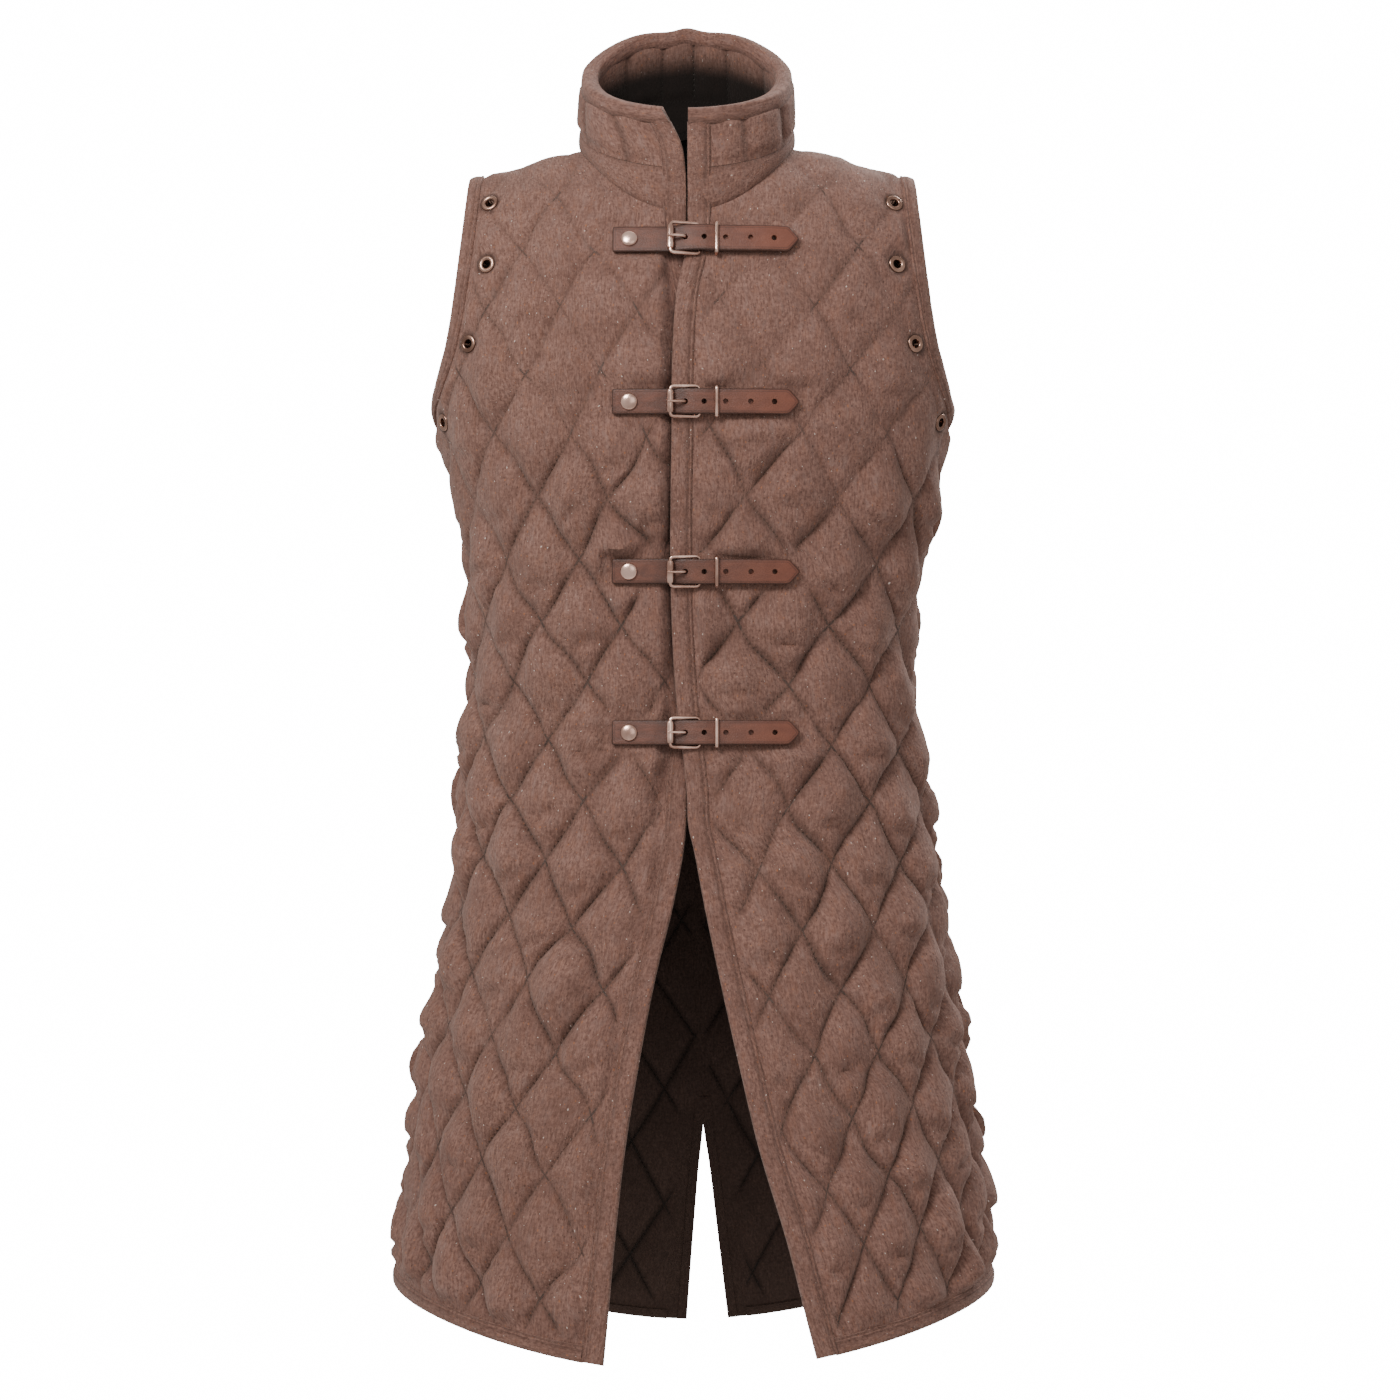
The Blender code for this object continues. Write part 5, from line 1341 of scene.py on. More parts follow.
def rim_piece(name, node):
    """Soft rolled binding over the top of the collar."""
    c = COLLAR_STATIONS
    middle = (COLLAR_WALL + COLLAR_INSIDE) / 2
    half = (COLLAR_WALL - COLLAR_INSIDE) / 2 + BINDING_LIFT + BINDING_THICK
    profile = [(COLLAR_WALL + 0.5, -BINDING_DEPTH), (COLLAR_WALL + 1.6, -BINDING_DEPTH - 0.2)]
    profile += [(middle + half, -BINDING_DEPTH + 1.0), (middle + half + 0.2, -BINDING_DEPTH * 0.5)]
    for angle in np.linspace(0, math.pi, 11):
        profile.append((middle + half * math.cos(angle), (BINDING_THICK + 2.2) * math.sin(angle) ** 0.8))
    profile += [(middle - half - 0.2, -BINDING_DEPTH * 0.5), (middle - half, -BINDING_DEPTH + 1.0)]
    profile += [(COLLAR_INSIDE - 1.6, -BINDING_DEPTH - 0.2), (COLLAR_INSIDE - 0.5, -BINDING_DEPTH)]
    profile += [(COLLAR_INSIDE - 0.4, 0.2), (COLLAR_WALL + 0.4, 0.2)]
    rows = []
    for out, rise in profile:
        ripple = RIM_RIPPLE * value_noise(c * 55.0, np.full(len(c), out / 3.0), 51)
        solid = 0.0 if rise == 0.2 else 1.0
        points = collar_piece(c, lambda g, rise=rise: collar_high(g) + rise, rim_taper, out + ripple * solid)
        rows.append(points)
    rings = np.array(rows).transpose(1, 0, 2)
    count = len(profile)
    outs = np.array([out for out, _ in profile])
    rises = np.array([rise for _, rise in profile])
    away = np.tile(np.where(rises < 0, np.abs(rises + BINDING_DEPTH - RIM_STITCH), NO_STITCH), len(c))
    run = np.repeat(c * COLLAR_LENGTH, count)
    across = np.tile(outs + rises, len(c)) * MM
    fields = cloth_fields(across, run * MM, np.zeros(len(run)), away * MM, run * MM, np.ones(len(run)))
    faces = loft_faces(count, len(c))
    points = rings.reshape(-1, 3)
    return write_piece(name, points, faces, (BINDING,), [node], fields, sharp=70.0)


# Leather and metal
LEATHER_STEP = 1.6
STRAP_NOSE = ((-10.5, 9.8), (-8.4, 9.5), (-6.6, 8.3), (-4.4, 5.9), (-2.2, 3.4), (-0.7, 1.6), (-0.1, 0.5))
LEATHER_BEVEL = 0.7
BEVEL_WIDE = 1.3
GROOVE_DEEP = 0.18
GROOVE_IN = 2.2
GROOVE_WIDE = 0.5
HIDE_ROUGH = 0.12
HIDE_GRAIN = (5.0, 5.0)
CLEAR_OF_EDGE = 1.45
CLEAR_OF_HOLE = 0.9
RIM_IN = 0.6
NOSE_RUN = 13.0
HOLE_FINE_SIDES = 16
TURNED_STEPS = 32
BUCKLE_TURN = 3.4
KEEPER_TURN = 1.8
KEEPER_WIRE = 1.5
ROLLER_SHORT = 3.2


def leather_piece(name, loop, holes, seat_of, thick, drop, node, seed):
    loop = [tuple(q) for q in loop]
    p = np.array(loop)
    xs = np.arange(p[:, 0].min(), p[:, 0].max(), LEATHER_STEP)
    ys = np.arange(p[:, 1].min(), p[:, 1].max() + 0.1, LEATHER_STEP)
    grid = np.array([(x, y) for x in xs for y in ys])
    edge_line = loop + [loop[0]]
    keep = inside(grid, loop) & (distance_to_line(grid, edge_line) > CLEAR_OF_EDGE)
    for hole in holes:
        keep &= ~inside(grid, hole) & (distance_to_line(grid, hole + [hole[0]]) > CLEAR_OF_HOLE)
    rim_in = [tuple(q) for q in inset(loop, RIM_IN)]
    skin = cut_flat([loop] + holes, [rim_in + [rim_in[0]]], [tuple(q) for q in grid[keep]], [])
    uv = skin[0]
    away = distance_to_line(uv, edge_line)
    seat = seat_of(uv[:, 0])
    bevel = LEATHER_BEVEL * np.clip(1 - away / BEVEL_WIDE, 0, 1) ** 2
    groove = GROOVE_DEEP * np.exp(-(((away - GROOVE_IN) / GROOVE_WIDE) ** 2))
    rough = HIDE_ROUGH * grain(uv, HIDE_GRAIN, seed)
    z = uv[:, 1] - drop
    high = chest(uv[:, 0], z, seat + thick - bevel - groove + rough)
    low = chest(uv[:, 0], z, seat + 0.4 * bevel)
    faces, _ = wall_faces(skin, skin)
    field = np.stack((uv[:, 0] * MM, uv[:, 1] * MM + seed, away * MM), axis=1)
    return write_piece(name, np.concatenate((high, low)), faces, (LEATHER,), [node],
                       {"hide": np.concatenate((field, field))}, sharp=60.0)


def circle(x, y, radius, sides):
    return [(x + radius * math.cos(t), y + radius * math.sin(t)) for t in ring_angles(sides)]


def tongue_piece(number, drop):
    tip = STRAP_TIP_X
    half = STRAP_HALF
    start = STRAP_START_X
    top = [(x, half) for x in np.arange(start + 1.6, tip - NOSE_RUN, 3.0)]
    nose = [(tip + x, y) for x, y in STRAP_NOSE] + [(tip + x, -y) for x, y in STRAP_NOSE[::-1]]
    bottom = [(x, -y) for x, y in top[::-1]]
    corner = [(start + 0.4, half - 0.5), (start, half - 1.8)]
    corner = [(x, -y) for x, y in corner] + corner[::-1]
    loop = top + nose + bottom + corner
    holes = [circle(x, 0.0, STRAP_HOLE_RADIUS, HOLE_FINE_SIDES) for x in STRAP_HOLES_X]

    def seat_of(x):
        return np.interp(x, TONGUE["across"], TONGUE["seat"])

    name = "tongue_strap_" + str(number)
    return leather_piece(name + "_leather", loop, holes, seat_of, STRAP_THICK, drop, name, 60 + number)


def buckle_strap_piece(number, drop):
    low, high = BUCKLE_STRAP_X
    half = STRAP_HALF - 0.4
    top = [(x, half) for x in np.arange(low, high + 0.1, 2.88)]
    loop = top + [(x, -y) for x, y in top[::-1]]
    name = "buckle_strap_" + str(number)
    return leather_piece(name + "_leather", loop, [], lambda x: np.full(len(x), BUCKLE_STRAP_SEAT),
                         BUCKLE_STRAP_THICK, drop, name, 70 + number)


def tube(path, radii, drop, sides, closed):
    """Points and faces of a round bar through strap points: across, height and outward."""
    path = np.array(path, dtype=float)
    rings = []
    for k, p in enumerate(path):
        if closed:
            t = path[(k + 1) % len(path)] - path[k - 1]
        else:
            t = path[min(k + 1, len(path) - 1)] - path[max(k - 1, 0)]
        t = unit(t)
        side_way = unit(np.cross(t, (0, 0, 1) if abs(t[2]) < 0.95 else (0, 1, 0)))
        up = np.cross(side_way, t)
        angles = ring_angles(sides)
        ring = p + radii[k] * (np.cos(angles)[:, None] * side_way + np.sin(angles)[:, None] * up)
        rings.append(chest(ring[:, 0], ring[:, 1] - drop, ring[:, 2]))
    return np.concatenate(rings), loft_faces(sides, len(path), closed_run=closed)


def joined(parts):
    points = []
    faces = []
    shift = 0
    for part_points, part_faces in parts:
        points.append(part_points)
        faces.extend(tuple(i + shift for i in f) for f in part_faces)
        shift += len(part_points)
    return np.concatenate(points), faces


def rounded_path(corners, cut, steps):
    """Closed path with each corner turned on a small arc."""
    path = []
    corners = np.array(corners, dtype=float)
    for k, c in enumerate(corners):
        before = corners[k - 1] - c
        after = corners[(k + 1) % len(corners)] - c
        start = c + unit(before) * cut
        end = c + unit(after) * cut
        for s in np.linspace(0, 1, steps):
            path.append(start * (1 - s) ** 2 + 2 * c * s * (1 - s) + end * s * s)
    return path


def buckle_metal(name, points, faces):
    return write_piece(name + "_metal", points, faces, (COPPER,), [name], {})


def buckle_piece(number, drop):
    rear = BUCKLE_REAR_X
    front = BUCKLE_ROLLER_X
    half = BUCKLE_HALF
    low = BUCKLE_REAR_RISE
    high = BUCKLE_ROLLER_RISE
    corners = ((rear, -half, low), (rear, half, low), (front, half, high), (front, -half, high))
    path = rounded_path(corners, BUCKLE_TURN, 7)
    frame_mesh = tube(path, [WIRE_RADIUS] * len(path), drop, 12, True)
    reach = half - ROLLER_SHORT
    roller = [(front, y, high) for y in np.linspace(-reach, reach, 9)]
    radii = [ROLLER_RADIUS * s for s in (0.86,) + (1.0,) * 7 + (0.86,)]
    points, faces = joined((frame_mesh, tube(roller, radii, drop, 16, False)))
    return buckle_metal("buckle_frame_" + str(number), points, faces)


def prong_piece(number, drop):
    stations = np.linspace(0, len(PRONG_PATH) - 1, 17)
    path = on_run(PRONG_PATH, stations)
    path = np.stack((path[:, 0], np.zeros(len(path)), path[:, 1]), axis=1)
    radii = np.interp(stations, (0, 3, 4), (PRONG_RADIUS * 1.15, PRONG_RADIUS * 1.1, PRONG_RADIUS * 0.75))
    points, faces = tube(path, radii, drop, 10, False)
    return buckle_metal("prong_" + str(number), points, faces)


def keeper_piece(number, drop):
    half = KEEPER_HALF + 0.5
    low = KEEPER_SEAT + 0.2
    high = KEEPER_TOP + 0.9
    corners = ((KEEPER_X, -half, low), (KEEPER_X, half, low), (KEEPER_X, half, high), (KEEPER_X, -half, high))
    path = rounded_path(corners, KEEPER_TURN, 6)
    points, faces = tube(path, [KEEPER_WIRE] * len(path), drop, 12, True)
    return buckle_metal("keeper_" + str(number), points, faces)


def turned_piece(node, profile, closed_profile, centre, e1, e2, axis, look):
    """Turned piece about an axis: profile of radius and height."""
    profile = np.array(profile, dtype=float)
    steps = TURNED_STEPS
    angles = 2 * math.pi * np.arange(steps) / steps
    rings = []
    for angle in angles:
        way = e1 * math.cos(angle) + e2 * math.sin(angle)
        rings.append(centre + profile[:, :1] * way + profile[:, 1:] * axis)
    count = len(profile)
    points = np.concatenate(rings)
    faces = []
    for i in range(steps):
        j = (i + 1) % steps
        for k in range(count if closed_profile else count - 1):
            m = (k + 1) % count
            faces.append((i * count + k, i * count + m, j * count + m, j * count + k))
    if not closed_profile:
        points = np.concatenate((points, [centre + profile[0, 1] * axis, centre + profile[-1, 1] * axis]))
        top = len(points) - 2
        base = len(points) - 1
        for i in range(steps):
            j = (i + 1) % steps
            faces.append((top, i * count, j * count))
            faces.append((base, j * count + count - 1, i * count + count - 1))
    return write_piece(node + "_metal", points, faces, (look,), [node], {}, sharp=40.0)


def rivet_piece(number, drop):
    seat = float(np.interp(RIVET_X, TONGUE["across"], TONGUE["seat"]))
    centre, e1, e2, axis = frame_at(RIVET_X, -drop, seat + STRAP_THICK + 0.05)
    profile = []
    for t in np.linspace(0.06, 1.0, 12):
        turn = t * math.pi / 2
        profile.append((RIVET_RADIUS * math.sin(turn), 0.7 + RIVET_RISE * math.cos(turn)))
    profile += [(RIVET_RADIUS, 0.35), (RIVET_RADIUS - 0.3, 0.0)]
    name = "rivet_" + str(number)
    return turned_piece(name, profile, False, centre, e1, e2, axis, COPPER)


def eyelet_piece(name, ring, side, face):
    c, _, e1, e2, n = ring
    centre = place(side, face, np.array([c]), np.zeros(1))[0]
    high = WALL + EYELET_SEAT - 0.2
    low = -EYELET_SEAT
    middle = (EYELET_BORE + EYELET_FLANGE) / 2
    half = (EYELET_FLANGE - EYELET_BORE) / 2
    profile = []
    for t in np.linspace(0.0, math.pi, 11):
        profile.append((middle + half * math.cos(t), high + 1.45 * math.sin(t) ** 0.9))
    profile += [(EYELET_BORE, low - 0.5), (EYELET_BORE + 0.5, low - 0.9), (EYELET_FLANGE - 1.4, low - 0.7)]
    profile += [(EYELET_FLANGE - 0.8, low), (EYELET_BARREL, low), (EYELET_BARREL, high)]
    return turned_piece(name, profile, True, centre, e1, e2, n, EYELET_COPPER)


# Materials
def new_material(name):
    material = bpy.data.materials.new(name)
    material.use_nodes = True
    tree = material.node_tree
    return material, tree, tree.nodes["Principled BSDF"]


def put(tree, socket, value):
    if isinstance(value, bpy.types.NodeSocket):
        tree.links.new(value, socket)
    else:
        socket.default_value = value


def maths(tree, operation, *values):
    node = tree.nodes.new("ShaderNodeMath")
    node.operation = operation
    for socket, value in zip(node.inputs, values):
        put(tree, socket, value)
    return node.outputs[0]


def field(tree, name):
    node = tree.nodes.new("ShaderNodeAttribute")
    node.attribute_name = name
    parts = tree.nodes.new("ShaderNodeSeparateXYZ")
    put(tree, parts.inputs[0], node.outputs["Vector"])
    return node.outputs["Vector"], parts.outputs


def stretched(tree, vector, factors):
    node = tree.nodes.new("ShaderNodeVectorMath")
    node.operation = "MULTIPLY"
    put(tree, node.inputs[0], vector)
    node.inputs[1].default_value = factors
    return node.outputs[0]


def noise(tree, vector, scale, detail=2.0, rough=0.5):
    node = tree.nodes.new("ShaderNodeTexNoise")
    put(tree, node.inputs["Vector"], vector)
    node.inputs["Scale"].default_value = scale
    node.inputs["Detail"].default_value = detail
    node.inputs["Roughness"].default_value = rough
    return node.outputs["Fac"]


def pattern(tree, vector, stretch, scale, detail, rough=0.5):
    return noise(tree, stretched(tree, vector, stretch), scale, detail, rough)


def times(tree, a, b):
    return maths(tree, "MULTIPLY", a, b)


def layer(tree, colour, mask, share, other):
    """Lays another colour over a colour by a share of a mask."""
    return mixed(tree, times(tree, mask, share), colour, other)


def rgb(red, green, blue):
    return (red, green, blue, 1.0)


def step_up(tree, value, start, end):
    node = tree.nodes.new("ShaderNodeMapRange")
    node.interpolation_type = "SMOOTHSTEP"
    put(tree, node.inputs["Value"], value)
    node.inputs["From Min"].default_value = start
    node.inputs["From Max"].default_value = end
    return node.outputs["Result"]


def mixed(tree, factor, a, b):
    node = tree.nodes.new("ShaderNodeMix")
    node.data_type = "RGBA"
    put(tree, node.inputs[0], factor)
    put(tree, node.inputs[6], a)
    put(tree, node.inputs[7], b)
    return node.outputs[2]


def bump(tree, shader, height, distance, strength=1.0):
    node = tree.nodes.new("ShaderNodeBump")
    node.inputs["Strength"].default_value = strength
    node.inputs["Distance"].default_value = distance
    put(tree, node.inputs["Height"], height)
    tree.links.new(node.outputs["Normal"], shader.inputs["Normal"])


# Patterns of the cloth: stretch across and along, scale, detail and roughness
PATTERNS = {
    "grain": ((760.0, 130.0, 1.0), 1.0, 4.0, 0.7),
    "yarn": ((430.0, 370.0, 1.0), 1.0, 3.0, 0.65),
    "rust": ((160.0, 62.0, 1.0), 1.0, 4.0, 0.6),
    "ash": ((120.0, 44.0, 1.0), 1.7, 4.0, 0.6),
    "worn": ((64.0, 40.0, 1.0), 1.3, 3.0, 0.55),
    "neps": ((460.0, 330.0, 1.0), 1.0, 1.0),
    "warm": ((420.0, 260.0, 1.0), 1.3, 0.0),
    "specks": ((640.0, 380.0, 1.0), 1.1, 0.0),
}
GRAIN_SHARE = 0.55
YARN_SHARE = 0.45
# Stitch lines: the narrow band of the valley line and the thread, the reach of the wider painted valley
# shade, and the thread's dashes
STITCH_EDGE = (0.0010, 0.0003)
VALLEY_SHADE_REACH = 0.0052
STITCH_DASH = (0.38, 0.3)


def cloth_material(name, dark, light, fleck, thread, sheen, flecked=1.0, lines=(0.42, 0.4, 0.18),
                   valley_shade_colour=None):
    """Woollen cloth with an upright grain, pale neps, dark and orange flecks, its stitches, and painted shade
    along the quilting valleys.
    """
    material, tree, shader = new_material(name)
    vector, cloth = field(tree, "cloth")
    _, stitch = field(tree, "stitch")
    grain = pattern(tree, vector, *PATTERNS["grain"])
    yarn = pattern(tree, vector, *PATTERNS["yarn"])
    cloud = noise(tree, vector, 24.0, 5.0, 0.6)
    rust = pattern(tree, vector, *PATTERNS["rust"])
    ash = pattern(tree, vector, *PATTERNS["ash"])
    worn = pattern(tree, vector, *PATTERNS["worn"])
    tone = maths(tree, "ADD", times(tree, grain, GRAIN_SHARE), times(tree, yarn, YARN_SHARE))
    tone = step_up(tree, tone, 0.34, 0.66)
    colour = mixed(tree, tone, dark, light)
    colour = layer(tree, colour, step_up(tree, rust, 0.48, 0.72), 0.3 * flecked, RUST)
    colour = layer(tree, colour, step_up(tree, ash, 0.49, 0.72), 0.42 * flecked, ASH)
    colour = layer(tree, colour, step_up(tree, cloud, 0.38, 0.68), 0.34, dark)
    colour = layer(tree, colour, step_up(tree, worn, 0.44, 0.68), 0.26, dark)
    neps = step_up(tree, pattern(tree, vector, *PATTERNS["neps"]), 0.735, 0.78)
    colour = layer(tree, colour, neps, 0.8 * flecked, fleck)
    warm = step_up(tree, pattern(tree, vector, *PATTERNS["warm"]), 0.76, 0.82)
    colour = layer(tree, colour, warm, 0.5 * flecked, WARM_YARN)
    specks = step_up(tree, pattern(tree, vector, *PATTERNS["specks"]), 0.26, 0.2)
    colour = layer(tree, colour, specks, 0.6, DARK_YARN_AND_VALLEY_SHADE)
    near = step_up(tree, stitch[0], *STITCH_EDGE)
    near = times(tree, near, stitch[2])
    beat = maths(tree, "FRACT", maths(tree, "DIVIDE", stitch[1], STITCH_LENGTH * MM))
    beat = maths(tree, "ABSOLUTE", maths(tree, "SUBTRACT", beat, 0.5))
    dash = times(tree, near, step_up(tree, beat, *STITCH_DASH))
    hollow = maths(tree, "SUBTRACT", near, dash)
    # Painted shade along each quilting valley: a wide soft band and a narrow dark line; only the dashes have
    # the thread's own colour
    wide = times(tree, step_up(tree, stitch[0], VALLEY_SHADE_REACH, 0.0), stitch[2])
    valley_shade_colour = valley_shade_colour or DARK_YARN_AND_VALLEY_SHADE
    colour = layer(tree, colour, wide, lines[0], valley_shade_colour)
    colour = layer(tree, colour, near, lines[1], valley_shade_colour)
    colour = layer(tree, colour, dash, lines[2], thread)
    colour = mixed(tree, cloth[2], colour, DEEP_SHADE)
    put(tree, shader.inputs["Base Color"], colour)
    shader.inputs["Roughness"].default_value = 0.92
    shader.inputs["Specular IOR Level"].default_value = 0.15
    shader.inputs["Sheen Weight"].default_value = sheen
    shader.inputs["Sheen Roughness"].default_value = 0.55
    shader.inputs["Sheen Tint"].default_value = (1.0, 0.86, 0.78, 1.0)
    height = maths(tree, "ADD", tone, times(tree, neps, 0.5))
    height = maths(tree, "SUBTRACT", height, times(tree, hollow, 1.5))
    height = maths(tree, "ADD", height, times(tree, dash, 0.7))
    bump(tree, shader, height, 0.0003)
    return material


def leather_material(name):
    """Reddish brown hide: fine grain, burnished dark edges, a little wear, and painted shade where the strap
    passes under the buckle's roller.
    """
    material, tree, shader = new_material(name)
    vector, hide = field(tree, "hide")
    cells = tree.nodes.new("ShaderNodeTexVoronoi")
    cells.inputs["Scale"].default_value = 1100.0
    put(tree, cells.inputs["Vector"], vector)
    cloud = noise(tree, stretched(tree, vector, (60.0, 160.0, 1.0)), 1.0, 5.0, 0.62)
    fine = noise(tree, vector, 900.0, 3.0, 0.6)
    colour = mixed(tree, step_up(tree, cloud, 0.3, 0.72), HIDE_DARK, HIDE_LIGHT)
    colour = layer(tree, colour, step_up(tree, fine, 0.4, 0.75), 0.2, HIDE_WORN)
    colour = layer(tree, colour, step_up(tree, hide[0], 0.0, 0.08), 0.5, HIDE_RED)
    # Painted shade: the hide darkens where the strap dips under the buckle's roller
    under = times(tree, step_up(tree, hide[0], -0.034, -0.02), step_up(tree, hide[0], -0.003, -0.008))
    colour = layer(tree, colour, under, 0.35, HIDE_BURNT_AND_SHADE)
    edge = step_up(tree, hide[2], 0.0018, 0.0005)
    line = times(tree, step_up(tree, hide[2], 0.0016, 0.0021), step_up(tree, hide[2], 0.0029, 0.0023))
    colour = layer(tree, colour, edge, 0.7, HIDE_BURNT_AND_SHADE)
    colour = layer(tree, colour, line, 0.4, HIDE_BURNT_AND_SHADE)
    put(tree, shader.inputs["Base Color"], colour)
    put(tree, shader.inputs["Roughness"], maths(tree, "ADD", 0.36, times(tree, cloud, 0.3)))
    shader.inputs["Specular IOR Level"].default_value = 0.4
    height = maths(tree, "ADD", cells.outputs["Distance"], times(tree, cloud, 1.2))
    bump(tree, shader, height, 0.00018)
    return material


def metal_material(name, dark, light, rough):
    """Antique copper plate: smooth, with a darker patina in patches."""
    material, tree, shader = new_material(name)
    place_node = tree.nodes.new("ShaderNodeTexCoord")
    vector = place_node.outputs["Object"]
    cloud = noise(tree, vector, 60.0, 2.0, 0.5)
    streak = noise(tree, vector, 900.0, 2.0, 0.5)
    colour = mixed(tree, step_up(tree, cloud, 0.3, 0.7), dark, light)
    put(tree, shader.inputs["Base Color"], colour)
    shader.inputs["Metallic"].default_value = 1.0
    put(tree, shader.inputs["Roughness"], maths(tree, "ADD", rough, times(tree, streak, 0.1)))
    return material


def floor_material(name, colour, solid_to, gone_at):
    """Matt paper that fades out between two distances from the middle."""
    material, tree, shader = new_material(name)
    spot = tree.nodes.new("ShaderNodeTexCoord").outputs["Object"]
    light = tuple(min(1.0, c * 1.02) for c in colour[:3]) + (1.0,)
    put(tree, shader.inputs["Base Color"], mixed(tree, noise(tree, spot, 6.0, 3.0), colour, light))
    shader.inputs["Roughness"].default_value = 0.95
    shader.inputs["Specular IOR Level"].default_value = 0.05
    reach = tree.nodes.new("ShaderNodeVectorMath")
    reach.operation = "LENGTH"
    tree.links.new(spot, reach.inputs[0])
    choice = tree.nodes.new("ShaderNodeMixShader")
    put(tree, choice.inputs[0], step_up(tree, reach.outputs["Value"], solid_to, gone_at))
    tree.links.new(shader.outputs[0], choice.inputs[1])
    tree.links.new(tree.nodes.new("ShaderNodeBsdfTransparent").outputs[0], choice.inputs[2])
    tree.links.new(choice.outputs[0], tree.nodes["Material Output"].inputs["Surface"])
    return material


# Colour of the dark yarn specks, and also of the painted shade in the quilting valleys
DARK_YARN_AND_VALLEY_SHADE = rgb(0.045, 0.021, 0.015)
WARM_YARN = rgb(0.36, 0.13, 0.05)
PALE_THREAD = rgb(0.26, 0.16, 0.125)
DEEP_SHADE = rgb(0.002, 0.0015, 0.001)
RUST = rgb(0.26, 0.112, 0.068)
ASH = rgb(0.235, 0.152, 0.13)
HIDE_DARK = rgb(0.085, 0.034, 0.023)
HIDE_LIGHT = rgb(0.145, 0.053, 0.033)
HIDE_WORN = rgb(0.25, 0.11, 0.072)
HIDE_RED = rgb(0.205, 0.06, 0.032)
# Dark colour of the burnished edges, and also of the painted shade under the buckle's roller
HIDE_BURNT_AND_SHADE = rgb(0.022, 0.01, 0.007)
TWEED = cloth_material("tweed", rgb(0.106, 0.051, 0.038), rgb(0.272, 0.148, 0.115),
                       rgb(0.62, 0.5, 0.44), PALE_THREAD, 0.12)
BINDING = cloth_material("binding_tweed", rgb(0.104, 0.05, 0.037), rgb(0.266, 0.145, 0.113),
                         rgb(0.6, 0.48, 0.42), PALE_THREAD, 0.12)
LINING = cloth_material("lining", rgb(0.04, 0.023, 0.018), rgb(0.075, 0.045, 0.035),
                        rgb(0.1, 0.07, 0.06), rgb(0.04, 0.025, 0.02), 0.05, 0.1, (0.5, 0.45, 0.2), DEEP_SHADE)
LINING_LIGHT = cloth_material("collar_lining", rgb(0.1, 0.05, 0.037), rgb(0.2, 0.112, 0.087),
                              rgb(0.5, 0.4, 0.35), rgb(0.2, 0.12, 0.095), 0.1, 0.8)
LEATHER = leather_material("strap_hide")
COPPER = metal_material("antique_copper", rgb(0.4, 0.23, 0.175), rgb(0.82, 0.55, 0.45), 0.19)
EYELET_COPPER = metal_material("eyelet_copper", rgb(0.2, 0.11, 0.08), rgb(0.46, 0.28, 0.21), 0.22)
PAPER = floor_material("studio_paper", rgb(0.93, 0.93, 0.93), 0.8, 2.3)

# Panels with their strips
cuts = {}
for face, face_name in ((FRONT, "front"), (BACK, "back")):
    for side, side_name in SIDES:
        node = face_name + "_" + side_name
        piece, runs, inner, frames, flat, area = panel(node, side, face)
        cuts[(face, side)] = (runs, inner)
        hem = "hem_binding_" + node
        seed = 80 + 2 * face + side
        strip_piece(hem + "_cloth", side, face, runs["hem"][:-1], inner["hem"], HEM_STRIP, 0.0,
                                  seed, hem)
        if face < 0:
            strap = "front_edge_binding_" + side_name
            front_strip_piece(strap + "_cloth", side, runs, inner, seed + 9, strap)
        else:
            slit = "slit_binding_" + side_name
            count = len(inner["edge"])
            strip_piece(slit + "_cloth", side, face, runs["edge"][:count], inner["edge"],
                                      FRONT_STRIP, 0.0, seed + 9, slit)
        for number, ring in enumerate(frames):
            eyelet_piece("eyelet_" + node + "_" + str(number + 1), ring, side, face)

for side, side_name in SIDES:
    arm = "armhole_binding_" + side_name
    arm_strip_piece(arm + "_cloth", side, cuts, 95 + side, arm)

# Neck band, stand collar and its rim
band = collar_piece_wall("neck_band_cloth", BAND_FINE_ROWS, foot_of, band_top, band_outer, band_inner,
                         True, False, "neck_band")
collar = collar_piece_wall("collar_cloth", FINE_ROWS, collar_low, collar_high, collar_outer, collar_inner,
                           False, True, "collar")
rim = rim_piece("collar_rim_binding_cloth", "collar_rim_binding")

# Straps with their buckles
for number, drop in enumerate(STRAP_DROPS, 1):
    tongue_piece(number, drop)
    buckle_strap_piece(number, drop)
    buckle_piece(number, drop)
    prong_piece(number, drop)
    keeper_piece(number, drop)
    rivet_piece(number, drop)

# Studio
FLOOR_Z = -1.35
FLOOR_RADIUS = 2.4
FLOOR_SIDES = 96


def studio():
    """Pale round floor beneath the garment, out of the main view."""
    points = [(0.0, 0.0, FLOOR_Z)]
    for k in range(FLOOR_SIDES):
        angle = 2 * math.pi * k / FLOOR_SIDES
        points.append((FLOOR_RADIUS * math.cos(angle), FLOOR_RADIUS * math.sin(angle), FLOOR_Z))
    faces = [(0, k + 1, (k + 1) % FLOOR_SIDES + 1) for k in range(FLOOR_SIDES)]
    mesh = bpy.data.meshes.new("studio")
    mesh.from_pydata(points, [], faces)
    mesh.materials.append(PAPER)
    floor = bpy.data.objects.new("studio", mesh)
    bpy.context.scene.collection.objects.link(floor)


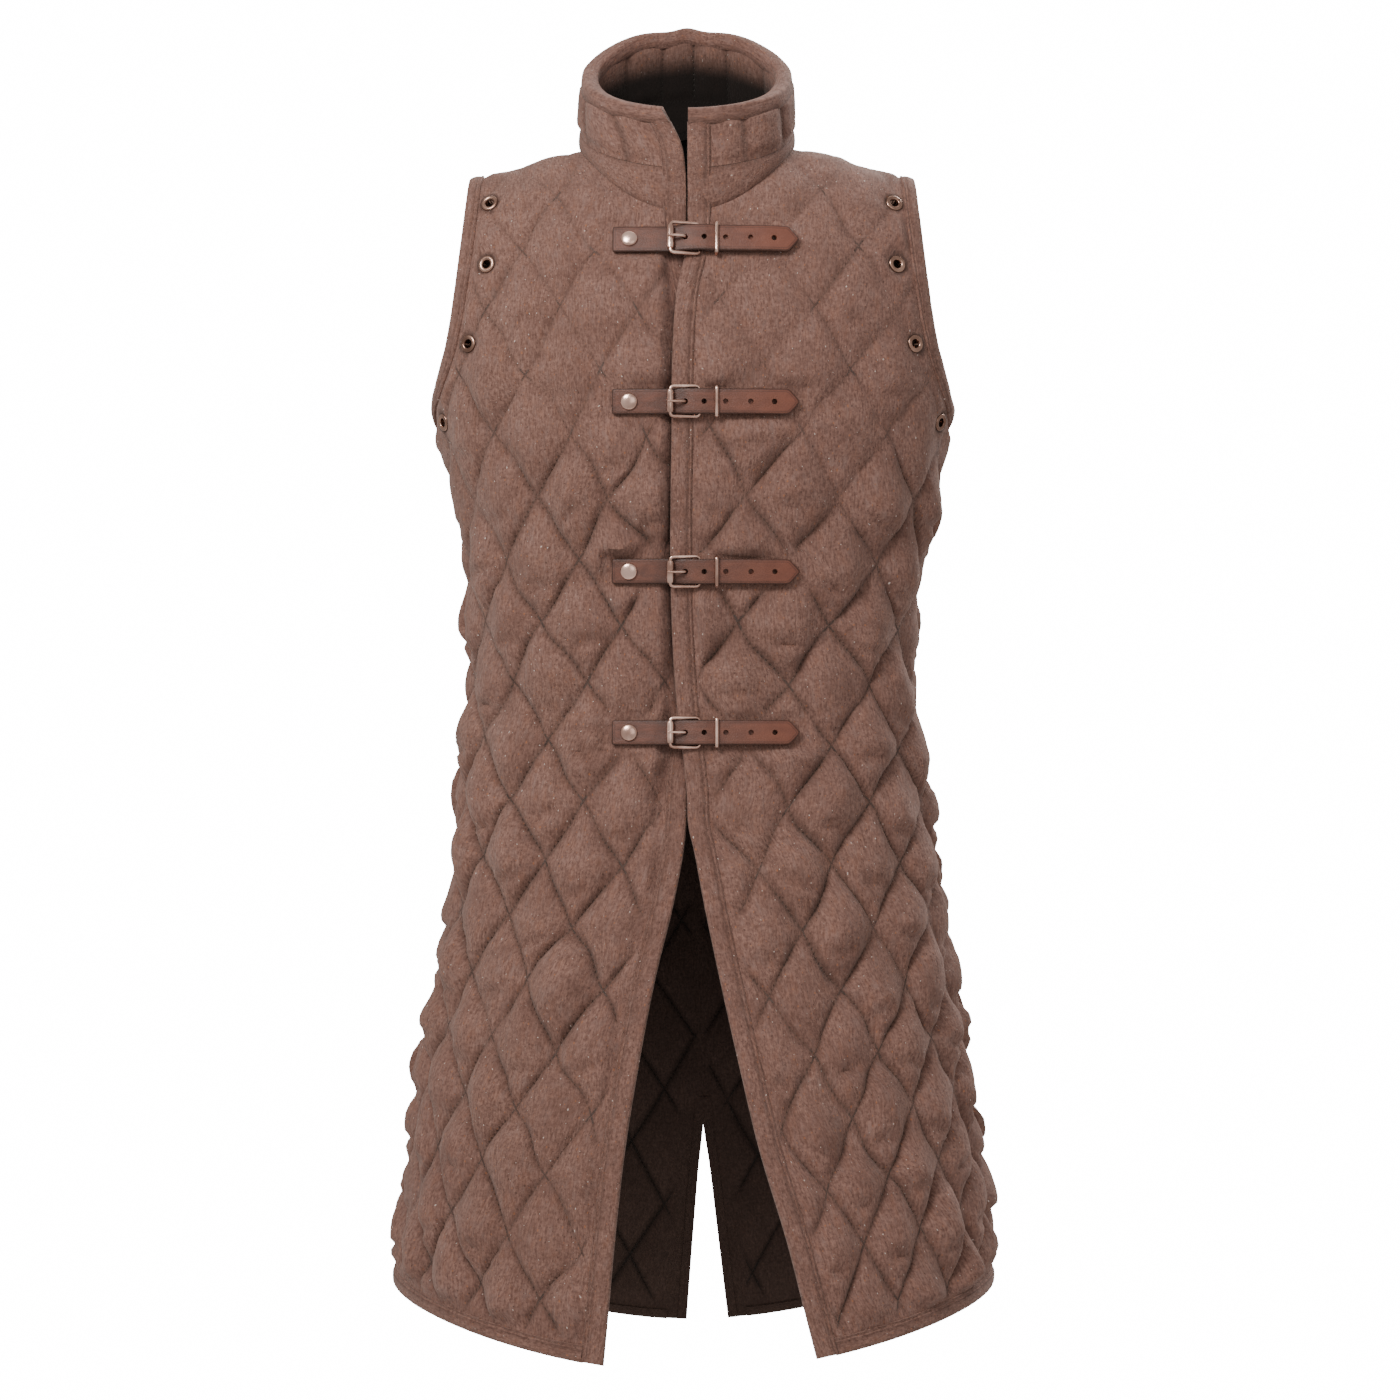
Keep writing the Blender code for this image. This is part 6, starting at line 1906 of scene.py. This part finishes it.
def area_light(name, place_at, target, size, watts, spread=180.0):
    data = bpy.data.lights.new(name, "AREA")
    data.shape = "RECTANGLE"
    data.size = size[0]
    data.size_y = size[1]
    data.energy = watts
    data.spread = math.radians(spread)
    lamp = bpy.data.objects.new(name, data)
    lamp.location = place_at
    way = Vector(target) - Vector(place_at)
    lamp.rotation_euler = way.to_track_quat("-Z", "Y").to_euler()
    bpy.context.scene.collection.objects.link(lamp)


studio()
KEY_AIM = (0.0, 0.0, -0.12)
WHITE_SEEN = 16.0
SOFT_LIGHT = 0.62
area_light("key", (-1.5, -2.4, 1.7), KEY_AIM, (1.2, 1.2), 14.6, 62.0)
area_light("fill", (1.0, -5.0, 0.9), KEY_AIM, (2.6, 2.6), 24.0)
area_light("top", (0.3, 0.6, 2.6), (0.0, 0.0, 0.0), (1.8, 1.2), 6.0)
area_light("back_key", (1.6, 2.4, 1.7), KEY_AIM, (1.4, 1.4), 19.0, 66.0)

# White to the eye, and a soft grey light on the garment
world = bpy.data.worlds.new("studio_air")
world.use_nodes = True
air = world.node_tree
seen = air.nodes.new("ShaderNodeBackground")
seen.inputs["Color"].default_value = (1.0, 1.0, 1.0, 1.0)
seen.inputs["Strength"].default_value = WHITE_SEEN
soft = air.nodes["Background"]
soft.inputs["Color"].default_value = (1.0, 0.99, 0.98, 1.0)
soft.inputs["Strength"].default_value = SOFT_LIGHT
choice = air.nodes.new("ShaderNodeMixShader")
air.links.new(air.nodes.new("ShaderNodeLightPath").outputs["Is Camera Ray"], choice.inputs[0])
air.links.new(soft.outputs[0], choice.inputs[1])
air.links.new(seen.outputs[0], choice.inputs[2])
air.links.new(choice.outputs[0], air.nodes["World Output"].inputs["Surface"])
bpy.context.scene.world = world

# Camera, level and straight in front
CAMERA_LENS = 144.6
CAMERA_SENSOR = 36.0
CAMERA_AT = (0.0064, -4.5, -0.443)
LEVEL = (math.pi / 2, 0.0, 0.0)
camera_data = bpy.data.cameras.new("camera")
camera_data.lens = CAMERA_LENS
camera_data.sensor_width = CAMERA_SENSOR
camera = bpy.data.objects.new("camera", camera_data)
camera.location = CAMERA_AT
camera.rotation_euler = LEVEL
bpy.context.scene.collection.objects.link(camera)
bpy.context.scene.camera = camera
